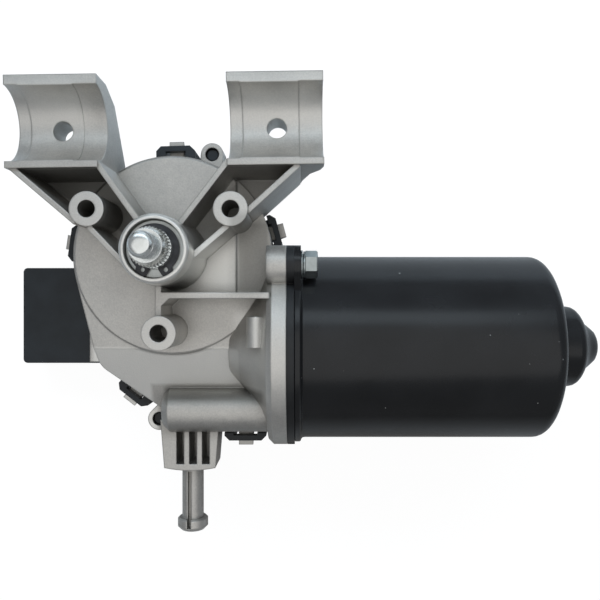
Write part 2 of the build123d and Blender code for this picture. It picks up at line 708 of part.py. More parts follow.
def clip_loop(facing, away, shift, width, reach):
    """One clip loop of the cover: two legs on a foot, joined by a bar over the catch."""
    low = COVER_TOP - COVER_WALL
    top = JOINT_Z + LOOP_RISE
    outer, half, gap = away + reach, width / 2, width / 2 - LOOP_LEG
    inner = outer - LOOP_THICK
    outline = (
        (away + SLIP, -half),
        (outer - LOOP_BEVEL, -half),
        (outer, LOOP_BEVEL - half),
        (outer, half - LOOP_BEVEL),
        (outer - LOOP_BEVEL, half),
        (away + SLIP, half),
    )
    loop = extrude(Plane.XY.offset(low) * make_face(Polyline(*outline, close=True)), top - low)
    loop -= slab(away - 1, -gap, inner, gap, low - 1, top + 1)
    loop -= slab(inner - 1, -gap, outer + 1, gap, low - 1, top - LOOP_BAR)
    for near, far in ((-half, -gap), (gap, half)):
        loop += slab(away - 2 * COVER_WALL, near, away + 2 * SLIP, far, low, COVER_TOP)
    return Rot(0, 0, facing) * Pos(0, shift, 0) * loop


def connector_shell():
    """The connector's outer shell, with its two shaped corners at the mouth."""
    low_y, high_y = CONNECTOR_Y
    foot = CONNECTOR_TOP - CONNECTOR_HEIGHT
    shell = slab(CONNECTOR_X, low_y, -CHAMBER_R / 2, high_y, foot, CONNECTOR_TOP)
    upright = shell.edges().filter_by(Axis.Z).group_by(Axis.X)[0]
    return fillet(upright, CONNECTOR_CORNER / 2)


def socket():
    """The hollow of the connector, open at its left end."""
    low_y, high_y = CONNECTOR_Y
    foot = CONNECTOR_TOP - CONNECTOR_HEIGHT
    return slab(
        CONNECTOR_X - 1,
        low_y + CONNECTOR_WALL,
        CONNECTOR_X + SOCKET_DEPTH,
        high_y - CONNECTOR_WALL,
        foot + CONNECTOR_WALL,
        CONNECTOR_TOP - CONNECTOR_WALL,
    )


def blade_places():
    """The middle of each connector blade along Y."""
    middle = sum(CONNECTOR_Y) / 2
    return [middle + (n - (BLADE_COUNT - 1) / 2) * BLADE_PITCH for n in range(BLADE_COUNT)]


def blade_z():
    """The blades' middle height."""
    return CONNECTOR_TOP - CONNECTOR_HEIGHT / 2


def rear_cover():
    """The moulded cover: floor and wall, clip loops, locating pins, carrier posts and connector shell."""
    shell = extrude(Plane.XY.offset(BASE_Z) * cover_outline(), COVER_TOP - BASE_Z)
    shell = chamfer(shell.edges().group_by(Axis.Z)[0], COVER_EDGE)
    for place in loops():
        shell += clip_loop(*place)
    for centre, root in zip(EAR_CENTRES, EAR_ROOTS):
        shell += wall(centre, root, 2 * EAR_R, COVER_TOP - COVER_WALL, COVER_TOP)
        shell += Pos(*centre, COVER_TOP - COVER_WALL / 2) * Cylinder(EAR_R, COVER_WALL)
        shell += Pos(*centre, (COVER_TOP + PIN_TOP) / 2) * Cylinder(PIN_R, PIN_TOP - COVER_TOP)
    shell += connector_shell()
    hollow = Plane.XY.offset(BASE_Z + COVER_FLOOR) * cover_outline(COVER_WALL)
    body = shell - extrude(hollow, COVER_TOP - BASE_Z)
    back = CONNECTOR_X + SOCKET_DEPTH + COVER_FLOOR
    low_y, high_y = CONNECTOR_Y
    foot = CONNECTOR_TOP - CONNECTOR_HEIGHT
    neck = slab(CONNECTOR_X, low_y, -CAVITY_R + COVER_WALL, high_y, foot, CONNECTOR_TOP)
    body += connector_shell() & neck
    body -= socket()
    for y in blade_places():
        body -= slab(back - 2 * COVER_FLOOR, y - BLADE_WIDTH / 2, BLADE_TAIL_X, y + BLADE_WIDTH / 2,
                     blade_z() - BLADE_THICK / 2, blade_z() + BLADE_THICK / 2)
    x_low, x_high, y_low, y_high = CARRIER
    for x in (x_low + COVER_WALL, x_high - COVER_WALL):
        for y in (y_low + COVER_WALL, y_high - COVER_WALL):
            body += Pos(x, y) * ring(COVER_WALL / 2, BASE_Z + COVER_EDGE, CARRIER_TOP - CARRIER_THICK)
    return body


def cover_gasket():
    """The flat gasket round the cover joint."""
    outer = Plane.XY.offset(COVER_TOP) * cover_outline(COVER_INSET)
    inner = Plane.XY.offset(COVER_TOP) * cover_outline(COVER_WALL - COVER_INSET)
    return extrude(outer, COVER_GASKET) - extrude(inner, COVER_GASKET)


def connector_terminals():
    """The connector's blades, from the socket through its back wall."""
    tip = CONNECTOR_X + BLADE_TIP_INSET
    low, high = blade_z() - BLADE_THICK / 2, blade_z() + BLADE_THICK / 2
    half = BLADE_WIDTH / 2
    return [slab(tip, y - half, BLADE_TAIL_X, y + half, low, high) for y in blade_places()]


def contact_carrier():
    """The plate on the cover's posts that holds the park switch fingers under the wheel."""
    x_low, x_high, y_low, y_high = CARRIER
    return slab(x_low, y_low, x_high, y_high, CARRIER_TOP - CARRIER_THICK, CARRIER_TOP)


def park_fingers():
    """Three bent contact fingers that rise from the carrier to the park disc."""
    rise = PARK_UNDER - SEAT - CARRIER_TOP
    foot = CARRIER[0] + FINGER_WIDTH
    found = []
    for n, radius in enumerate(FINGER_RADII):
        y = (n - 1) * 2 * FINGER_WIDTH
        reach = -math.sqrt(radius**2 - y**2)
        path = (
            (foot, 0),
            (foot + FINGER_WIDTH, 0),
            (reach, rise - FINGER_THICK),
            (reach, rise),
            (reach - FINGER_THICK, rise),
            (foot + FINGER_WIDTH - FINGER_THICK, FINGER_THICK),
            (foot, FINGER_THICK),
        )
        plane = Plane(origin=(0, y + FINGER_WIDTH / 2, CARRIER_TOP), x_dir=(1, 0, 0), z_dir=(0, -1, 0))
        found.append(extrude(plane * make_face(Polyline(*path, close=True)), FINGER_WIDTH))
    return found


def wheel_section(turn):
    """The wheel's toothed outline, turned about its axis, with a gap facing the worm at no turn."""
    slope = math.tan(math.radians(PRESSURE_ANGLE))
    root_r, tip_r = WHEEL_PITCH_R - WHEEL_DEDENDUM, WHEEL_PITCH_R + ADDENDUM
    root_half = (TOOTH_THICKNESS / 2 + WHEEL_DEDENDUM * slope) / root_r
    tip_half = (TOOTH_THICKNESS / 2 - ADDENDUM * slope) / tip_r
    points = []
    for n in range(WHEEL_TEETH):
        middle = math.radians(turn - 90) + (n + 0.5) * 2 * math.pi / WHEEL_TEETH
        tooth = ((root_r, -root_half), (tip_r, -tip_half), (tip_r, tip_half), (root_r, root_half))
        for radius, shift in tooth:
            points.append((radius * math.cos(middle + shift), radius * math.sin(middle + shift)))
    return make_face(Polyline(*points, close=True))


def worm_wheel():
    """The moulded wheel, its teeth tilted to the worm's lead angle."""
    tilt = MODULE / (2 * WORM_PITCH_R) * WHEEL_FACE / 2 / WHEEL_PITCH_R
    low = Plane.XY.offset(WHEEL_UNDER) * wheel_section(-math.degrees(tilt))
    high = Plane.XY.offset(WHEEL_TOP) * wheel_section(math.degrees(tilt))
    blank = loft([low, high], ruled=True)
    return blank - ring(HUB_R, WHEEL_UNDER - 1, WHEEL_TOP + 1)


def wheel_hub():
    """The steel plate moulded into the wheel, splined on the shaft's foot."""
    return ring(HUB_R, WHEEL_UNDER, WHEEL_TOP, SPLINE_R)


def park_disc():
    """The contact disc under the wheel, with the notch that marks the parked position."""
    inner, outer, thick = PARK_DISC
    disc = ring(outer, PARK_UNDER, PARK_UNDER + thick, inner)
    reach = 2 * outer
    half = math.tan(math.radians(PARK_NOTCH / 2)) * reach
    notch = make_face(Polyline((0, 0), (reach, -half), (reach, half), close=True))
    notch = extrude(Plane.XY.offset(PARK_UNDER - 1) * notch, thick + 2)
    return disc - (notch - ring((inner + outer) / 2, PARK_UNDER - 2, WHEEL_UNDER + 2))


def output_shaft():
    """The output shaft: splined foot, journal, ring groove, serrated cone and threaded end."""
    journal_top = RING_FOOT + RING_THICK + 2 * SEAT
    groove_r = SHAFT_R - RING_GROOVE_DEPTH
    profile = (
        (0, SHAFT_FOOT),
        (SPLINE_R, SHAFT_FOOT),
        (SPLINE_R, WHEEL_TOP),
        (SHAFT_R, WHEEL_TOP),
        (SHAFT_R, RING_FOOT),
        (groove_r, RING_FOOT),
        (groove_r, journal_top),
        (SHAFT_R, journal_top),
        (SHAFT_R, COLLAR_TOP),
        (CONE_R, CONE_TOP),
        (THREAD_R, CONE_TOP),
        (THREAD_R, THREAD_TOP - THREAD_TIP),
        (THREAD_TIP_R, THREAD_TOP),
        (0, THREAD_TOP),
    )
    outline = [(r, 0, z) for r, z in profile]
    shaft = revolve(make_face(Polyline(*outline, close=True)), Axis.Z)
    flank = SHAFT_R * math.pi / SERRATIONS / 2
    notch = make_face(
        Polyline((SHAFT_R - SERRATION_DEPTH, 0), (SHAFT_R + 1, -flank), (SHAFT_R + 1, flank), close=True)
    )
    notch = extrude(Plane.XY.offset(SERRATION_FOOT) * notch, CONE_TOP - SERRATION_FOOT)
    cuts = [Rot(0, 0, 360 * n / SERRATIONS) * notch for n in range(SERRATIONS)]
    return shaft - cuts


def upper_shaft_bush():
    """The sintered bush at the tower's mouth, under the seal."""
    return ring(BUSH_R, *UPPER_BUSH, SHAFT_R + RUN)


def lower_shaft_bush():
    """The sintered bush at the chamber roof."""
    return ring(BUSH_R, ROOF_UNDER, ROOF_UNDER - UPPER_BUSH[0] + UPPER_BUSH[1], SHAFT_R + RUN)


def shaft_seal():
    """The square-section seal between the upper bush and the tower washer."""
    return ring(BUSH_R, UPPER_BUSH[1], UPPER_BUSH[1] + SEAL_THICK, SHAFT_R + RUN)


def tower_washer():
    """The bright washer that the retaining ring bears on."""
    return ring(TOWER_MOUTH_R - SLIP, TOWER_FLOOR, TOWER_FLOOR + WASHER_THICK, SHAFT_R + RUN)


def thrust_washer():
    """The washer between the wheel's hub and the chamber roof."""
    return ring(BUSH_R + BUSH_WALL, ROOF_UNDER - THRUST_THICK, ROOF_UNDER, SHAFT_R + RUN)


def retaining_ring():
    """The external retaining ring with its two drilled lugs and the gap between them."""
    foot, top = RING_FOOT + SEAT, RING_FOOT + SEAT + RING_THICK
    groove_r = SHAFT_R - RING_GROOVE_DEPTH
    body = ring(groove_r + RING_WIDTH, foot, top)
    for side in (-1, 1):
        body += Pos(side * RING_LUG_SPREAD, RING_LUG_Y) * ring(RING_LUG_R, foot, top)
    gap = RING_LUG_SPREAD - RING_LUG_R
    body -= slab(-gap, RING_LUG_Y - 2 * RING_LUG_R, gap, 0, foot - 1, top + 1)
    body -= ring(groove_r, foot - 1, top + 1)
    for side in (-1, 1):
        body -= Pos(side * RING_LUG_SPREAD, RING_LUG_Y) * ring(RING_HOLE_R, foot - 1, top + 1)
    return body


def can_profile():
    """The can's outer outline from the lip to the nose, as (station, radius) points."""
    bevel = CAN_CORNER * (1 - math.sqrt(1 / 2))
    return (
        (CARD_END, 0),
        (CARD_END, CAN_R),
        (CAN_STRAIGHT_END, CAN_R),
        (CAN_STRAIGHT_END + CAN_CORNER - bevel, CAN_R - bevel),
        (CAN_STRAIGHT_END + CAN_CORNER, CAN_R - CAN_CORNER),
        (CAN_FACE_X, NOSE_R),
        (NOSE_SHOULDER_X, NOSE_R),
        (NOSE_CONE_X, NOSE_CONE_R),
        (NOSE_TIP_X, NOSE_TIP_R),
        (NOSE_TIP_X, 0),
    )


def motor_can():
    """The deep-drawn can: lip with ears, body, crowned end and the nose that holds the rear bush."""
    outer = turned(can_profile())
    lip = drum(CAN_LIP_R, CARD_END, LIP_END)
    for y, z in screw_spots():
        lip += extrude(across(CARD_END) * Pos(y, z) * Circle(SCREW_EAR_R), CAN_LIP_THICK)
    outer += lip & above(BASE_Z)
    inner = turned(
        (
            (CARD_END - 1, 0),
            (CARD_END - 1, CAN_INNER_R),
            (CAN_STRAIGHT_END, CAN_INNER_R),
            (CAN_STRAIGHT_END, CAN_INNER_R - CAN_CORNER),
            (CAN_FACE_X - 2 * CAN_WALL, CAN_INNER_R - CAN_CORNER),
            (CAN_FACE_X - 2 * CAN_WALL, NOSE_R - CAN_WALL),
            (RETAINER[1], NOSE_R - CAN_WALL),
            (RETAINER[1], NOSE_BUSH[2]),
            (NOSE_BUSH[1], NOSE_BUSH[2]),
            (NOSE_BUSH[1], ARMATURE_SHAFT_R + SLIP),
            (ARMATURE_END + PAD_THICK, ARMATURE_SHAFT_R + SLIP),
            (ARMATURE_END + PAD_THICK, 0),
        )
    )
    body = outer - inner
    for y, z in screw_spots():
        body -= extrude(across(CARD_END - 1) * Pos(y, z) * Circle(SCREW_R + SLIP), CAN_LIP_THICK + 2)
    return body


def field_magnets():
    """The two magnet tiles against the can's wall."""
    shell = drum(CAN_INNER_R, *MAGNET_X, MAGNET_BORE_R)
    reach = 2 * CAN_R
    half = math.radians(MAGNET_ARC / 2)
    found = []
    for side in (-1, 1):
        points = ((0, 0), (-reach * math.sin(half), side * reach * math.cos(half)), (-reach, side * reach),
                  (reach, side * reach), (reach * math.sin(half), side * reach * math.cos(half)))
        face = make_face(Polyline(*points, close=True))
        found.append(shell & extrude(across(MAGNET_X[0]) * face, MAGNET_X[1] - MAGNET_X[0]))
    return found


def worm_thread():
    """The rolled thread, right-handed, crossing the middle of the wheel at rest."""
    pitch = math.pi * MODULE
    root_r = WORM_PITCH_R - WORM_DEDENDUM
    tip_r = WORM_PITCH_R + ADDENDUM
    slope = math.tan(math.radians(PRESSURE_ANGLE))
    sunk_r = root_r - THREAD_ROOT_DEPTH
    tip = THREAD_THICKNESS / 2 - ADDENDUM * slope
    root = THREAD_THICKNESS / 2 + (WORM_PITCH_R - sunk_r) * slope
    turns = math.floor(WORM_LENGTH / pitch)
    height = turns * pitch
    path = Helix(pitch, height, WORM_PITCH_R)
    section = make_face(
        Polyline((sunk_r, 0, -root), (tip_r, 0, -tip), (tip_r, 0, tip), (sunk_r, 0, root), close=True)
    )
    thread = sweep(section, path, is_frenet=True)
    return Pos(-height / 2, MOTOR_Y, MOTOR_Z) * Rot(0, 90, 0) * Rot(0, 0, 90 + 180 * (turns % 2)) * thread


def armature_shaft():
    """The armature shaft with the worm rolled on it."""
    root_r = WORM_PITCH_R - WORM_DEDENDUM
    half = WORM_LENGTH / 2 + MODULE
    shaft = drum(ARMATURE_SHAFT_R, ARMATURE_START, ARMATURE_END)
    shaft += drum(root_r, -half, half)
    return shaft + worm_thread()


def core_slot(radius_gap=0.0):
    """One winding slot of the core, pointing along the first axis, moved in by a gap all round."""
    outer = CORE_R - CORE_TIP - radius_gap
    inner = CORE_HUB_R + radius_gap
    turn = math.pi / CORE_SLOTS
    half_outer = outer * math.sin(turn) - CORE_TOOTH / 2 - radius_gap
    half_inner = inner * math.sin(turn) - CORE_TOOTH / 2 - radius_gap + CORE_MOUTH / 4
    low = ((inner, -half_inner), (outer, -half_outer))
    high = ((outer, half_outer), (inner, half_inner))
    return make_face(Polyline(*low, *high, close=True))


def armature_core():
    """The slotted lamination stack."""
    face = Circle(CORE_R) - Circle(ARMATURE_SHAFT_R)
    mouth = Pos(CORE_R, 0) * Rectangle(3 * CORE_TIP, CORE_MOUTH)
    cuts = [Rot(0, 0, 360 * n / CORE_SLOTS) * (core_slot() + mouth) for n in range(CORE_SLOTS)]
    return extrude(across(CORE_X[0]) * (face - cuts), CORE_X[1] - CORE_X[0])


def armature_windings():
    """The coils: a wound ring at each end of the core, and their bars through the slots."""
    start, end = CORE_X[0] - COIL_OVERHANG, CORE_X[1] + COIL_OVERHANG
    coils = drum(COIL_R, start, CORE_X[0], COIL_BORE_R) + drum(COIL_R, CORE_X[1], end, COIL_BORE_R)
    for n in range(CORE_SLOTS):
        bar = Rot(0, 0, 360 * n / CORE_SLOTS) * core_slot(SLIP)
        coils += extrude(across(CORE_X[0] - 1) * bar, CORE_X[1] - CORE_X[0] + 2)
    return coils


def commutator():
    """The commutator on the armature shaft."""
    return drum(COMMUTATOR[2], COMMUTATOR[0], COMMUTATOR[1], ARMATURE_SHAFT_R)


def journal(seat):
    """A sintered bush for the armature shaft in a (start, end, radius) seat."""
    start, end, radius = seat
    return drum(radius, start, end, ARMATURE_SHAFT_R + RUN)


def nose_bush_retainer():
    """The spring plate that holds the rear bush in the can's nose."""
    return drum(NOSE_R - CAN_WALL, *RETAINER, NOSE_BUSH[2])


def thrust_pad(start):
    """A hard pad that takes the armature's end thrust."""
    return drum(ARMATURE_SHAFT_R, start, start + PAD_THICK - SEAT)


def around(angle, hand, face):
    """A face drawn in a brush's own frame (outwards, sideways), placed square to the motor's axis."""
    turned_face = Rot(0, 0, angle) * (face if hand > 0 else mirror(face, Plane.XZ))
    return across(BRUSH_X[0]) * turned_face


def rectangle(x_low, y_low, x_high, y_high):
    """A rectangle between two corners."""
    return Pos((x_low + x_high) / 2, (y_low + y_high) / 2) * Rectangle(x_high - x_low, y_high - y_low)


def brush(name):
    """One carbon brush, hollowed to the commutator."""
    angle, hand = BRUSHES[name]
    seat = COMMUTATOR[2] + SEAT
    outline = rectangle(seat - 1, -BRUSH_WIDTH / 2, seat + BRUSH_LENGTH, BRUSH_WIDTH / 2) - Circle(seat)
    return extrude(around(angle, hand, outline), BRUSH_X[1] - BRUSH_X[0])


def brush_arm(name):
    """The spring leaf that carries a brush and presses it on the commutator."""
    angle, hand = BRUSHES[name]
    inner = COMMUTATOR[2] + SEAT + BRUSH_LENGTH
    leaf = rectangle(inner, -BRUSH_WIDTH / 2, inner + LEAF_THICK, LEAF_REACH + POST_WIDTH / 2)
    return extrude(around(angle, hand, leaf), BRUSH_X[1] - BRUSH_X[0])


def brush_card():
    """The moulded card that carries the brush arms, held between the flange and the can."""
    card = drum(CARD_R, FLANGE_END, CARD_END)
    for y, z in screw_spots():
        card += extrude(across(FLANGE_END) * Pos(y, z) * Circle(SCREW_EAR_R), CARD_THICK)
    card = card & above(BASE_Z)
    tab = rectangle(-CARD_TAB_R, -CARD_TAB_WIDTH / 2, 0, CARD_TAB_WIDTH / 2)
    card += extrude(across(FLANGE_END) * tab, CARD_THICK)
    inner = COMMUTATOR[2] + SEAT + BRUSH_LENGTH - SLIP
    for angle, hand in BRUSHES.values():
        near, far = LEAF_REACH - POST_WIDTH / 2, LEAF_REACH + POST_WIDTH / 2
        post = rectangle(inner - POST_DEPTH, near, inner, far)
        card += extrude(around(angle, hand, post), FLANGE_END - BRUSH_X[0])
        card += extrude(around(angle, hand, post), BRUSH_X[1] - BRUSH_X[0])
    card -= drum(CARD_BORE_R, FLANGE_END - 1, CARD_END + 1)
    for y, z in screw_spots():
        card -= extrude(across(FLANGE_END - 1) * Pos(y, z) * Circle(SCREW_R + SLIP), CARD_THICK + 2)
    return card


def suppression_chokes():
    """The two chokes that stand on the brush card."""
    found = []
    for angle in CHOKE_ANGLES:
        spot = Rot(0, 0, angle) * Pos(CHOKE_CIRCLE_R, 0)
        found.append(extrude(across(CARD_END) * spot * Circle(CHOKE_R), CHOKE_LENGTH))
    return found


def thermal_breaker():
    """The thermal breaker that stands on the brush card."""
    length, width, thick = BREAKER
    spot = Rot(0, 0, BREAKER_ANGLE) * Pos(CHOKE_CIRCLE_R, 0)
    return extrude(across(CARD_END) * spot * Rectangle(thick, width), length)


def can_screws():
    """The two screws that hold the can and the brush card to the flange."""
    seat = LIP_END + SCREW_WASHER
    found = []
    for y, z in screw_spots():
        shank = extrude(across(SCREW_TIP_X) * Pos(y, z) * Circle(SCREW_R), seat - SCREW_TIP_X)
        head = across(seat) * Pos(y, z) * RegularPolygon(SCREW_FLATS / 2, 6, major_radius=False)
        found.append(shank + extrude(head, SCREW_HEAD))
    return found


def can_screw_washers():
    """The washers under the screw heads."""
    face = Circle(SCREW_WASHER_R) - Circle(SCREW_R)
    return [extrude(across(LIP_END) * Pos(y, z) * face, SCREW_WASHER) for y, z in screw_spots()]


def pieces():
    """Every piece by its name."""
    found = {
        "gear_housing": gear_housing(),
        "rear_cover": rear_cover(),
        "cover_gasket": cover_gasket(),
        "connector_terminals": connector_terminals(),
        "contact_carrier": contact_carrier(),
        "park_fingers": park_fingers(),
        "worm_wheel": worm_wheel(),
        "wheel_hub": wheel_hub(),
        "park_disc": park_disc(),
        "output_shaft": output_shaft(),
        "upper_shaft_bush": upper_shaft_bush(),
        "lower_shaft_bush": lower_shaft_bush(),
        "shaft_seal": shaft_seal(),
        "tower_washer": tower_washer(),
        "thrust_washer": thrust_washer(),
        "retaining_ring": retaining_ring(),
        "motor_can": motor_can(),
        "field_magnets": field_magnets(),
        "armature_shaft": armature_shaft(),
        "armature_core": armature_core(),
        "armature_windings": armature_windings(),
        "commutator": commutator(),
        "worm_end_bush": journal(WORM_END_BUSH),
        "neck_bush": journal(NECK_BUSH),
        "nose_bush": journal(NOSE_BUSH),
        "nose_bush_retainer": nose_bush_retainer(),
        "worm_end_thrust_pad": thrust_pad(ARMATURE_START - PAD_THICK),
        "nose_thrust_pad": thrust_pad(ARMATURE_END + SEAT),
        "brush_card": brush_card(),
        "suppression_chokes": suppression_chokes(),
        "thermal_breaker": thermal_breaker(),
        "can_screws": can_screws(),
        "can_screw_washers": can_screw_washers(),
    }
    for name in BRUSHES:
        found[f"brush_{name}"] = brush(name)
        found[f"brush_arm_{name}"] = brush_arm(name)
    return found


def main():
    """Writes each piece to its own file."""
    os.makedirs("parts", exist_ok=True)
    for name, shape in pieces().items():
        whole = Compound(children=shape) if isinstance(shape, list) else shape
        export_step(whole, f"parts/{name}.step")


main()
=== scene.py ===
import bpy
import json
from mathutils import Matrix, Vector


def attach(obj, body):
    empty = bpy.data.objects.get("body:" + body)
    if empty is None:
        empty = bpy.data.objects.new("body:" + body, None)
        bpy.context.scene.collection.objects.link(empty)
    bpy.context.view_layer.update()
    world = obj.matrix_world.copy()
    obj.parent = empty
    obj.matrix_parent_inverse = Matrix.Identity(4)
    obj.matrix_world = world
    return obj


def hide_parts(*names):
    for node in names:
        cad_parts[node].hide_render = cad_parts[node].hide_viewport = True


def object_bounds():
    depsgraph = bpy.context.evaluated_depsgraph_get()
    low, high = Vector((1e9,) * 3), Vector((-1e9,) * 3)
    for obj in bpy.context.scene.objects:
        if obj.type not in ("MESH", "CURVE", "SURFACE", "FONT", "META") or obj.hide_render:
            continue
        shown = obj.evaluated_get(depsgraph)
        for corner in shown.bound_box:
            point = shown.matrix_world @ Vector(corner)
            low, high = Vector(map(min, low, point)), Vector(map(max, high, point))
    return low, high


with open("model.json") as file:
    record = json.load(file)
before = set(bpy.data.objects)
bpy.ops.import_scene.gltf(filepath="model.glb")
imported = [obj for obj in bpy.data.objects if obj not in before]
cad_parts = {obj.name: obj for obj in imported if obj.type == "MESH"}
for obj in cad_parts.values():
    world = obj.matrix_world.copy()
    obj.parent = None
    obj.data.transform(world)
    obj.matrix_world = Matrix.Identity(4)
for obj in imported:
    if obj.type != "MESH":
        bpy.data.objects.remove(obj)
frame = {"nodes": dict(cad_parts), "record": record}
CAD_BOX = [list(corner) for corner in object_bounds()]

import json
import logging
import math
from dataclasses import dataclass, field
from enum import Enum
from functools import reduce
from typing import Callable, Iterable, Optional, Sequence, Union

import bmesh
import bpy
from mathutils import Matrix, Vector

# Lengths are in millimetres in the part's own frame; only what goes to Blender is in metres.
Point2 = tuple[float, float]
Point3 = tuple[float, float, float]
Colour = tuple[float, float, float]

MM = 0.001
# Points of a mesh that lie closer than this become one.
MERGE = 0.002
ALONG: Point3 = (1.0, 0.0, 0.0)
UPRIGHT: Point3 = (0.0, 0.0, 1.0)
MOTOR_Y = -33.0
MOTOR_Z = -34.3
SCREW_CIRCLE = 38.5
SCREW_ANGLE = 41.4
LOG = logging.getLogger("wiper_motor")


class Body(Enum):
    """The rigid bodies that the new pieces ride on."""

    HOUSING = "housing"
    OUTPUT = "output"


class Slot(Enum):
    """The record's material slots that new pieces use."""

    CAST = "cast_aluminium"
    CAN = "can_paint"
    PLATED = "plated_steel"
    RING = "black_steel"


class Signal:
    """A shader socket that takes part in ordinary arithmetic."""

    def __init__(self, shader: "Shader", socket: bpy.types.NodeSocket) -> None:
        """Wraps an output socket of a shader's node tree."""
        self.shader = shader
        self.socket = socket

    def _join(self, operation: str, *values: "Value", clamp: bool = False) -> "Signal":
        """Adds one Math node.

        Args:
            operation: the Math node's operation.
            values: the numbers or signals on its inputs.
            clamp: whether the result is held between 0 and 1.

        Returns:
            The node's result.
        """
        inputs = dict(enumerate(values))
        node = self.shader.node("ShaderNodeMath", {"operation": operation, "use_clamp": clamp}, inputs)
        return Signal(self.shader, node.outputs[0])

    def __add__(self, other: "Value") -> "Signal":
        """Sum."""
        return self._join("ADD", self, other)

    __radd__ = __add__

    def __sub__(self, other: "Value") -> "Signal":
        """Difference."""
        return self._join("SUBTRACT", self, other)

    def __rsub__(self, other: "Value") -> "Signal":
        """Difference from a number."""
        return self._join("SUBTRACT", other, self)

    def __mul__(self, other: "Value") -> "Signal":
        """Product."""
        return self._join("MULTIPLY", self, other)

    def __truediv__(self, other: "Value") -> "Signal":
        """Quotient."""
        return self._join("DIVIDE", self, other)

    def root(self) -> "Signal":
        """Square root."""
        return self._join("SQRT", self)

    def greater(self, other: "Value") -> "Signal":
        """The larger of two."""
        return self._join("MAXIMUM", self, other)

    def held(self) -> "Signal":
        """The value held between 0 and 1."""
        return self._join("ADD", self, 0.0, clamp=True)

    def step(self, low: float, high: float) -> "Signal":
        """A soft step.

        Args:
            low: the value at which the result is 0.
            high: the value at which the result is 1.

        Returns:
            The value's place between low and high, held between 0 and 1.
        """
        return ((self - low) / (high - low)).held()

    def within(self, low: float, high: float, soft: float) -> "Signal":
        """A soft-edged stretch.

        Args:
            low: where it begins.
            high: where it ends.
            soft: how far each end fades to either side.

        Returns:
            1 inside the stretch and 0 outside.
        """
        return self.step(low - soft, low + soft) * (1.0 - self.step(high - soft, high + soft))


Value = Union[float, Signal]


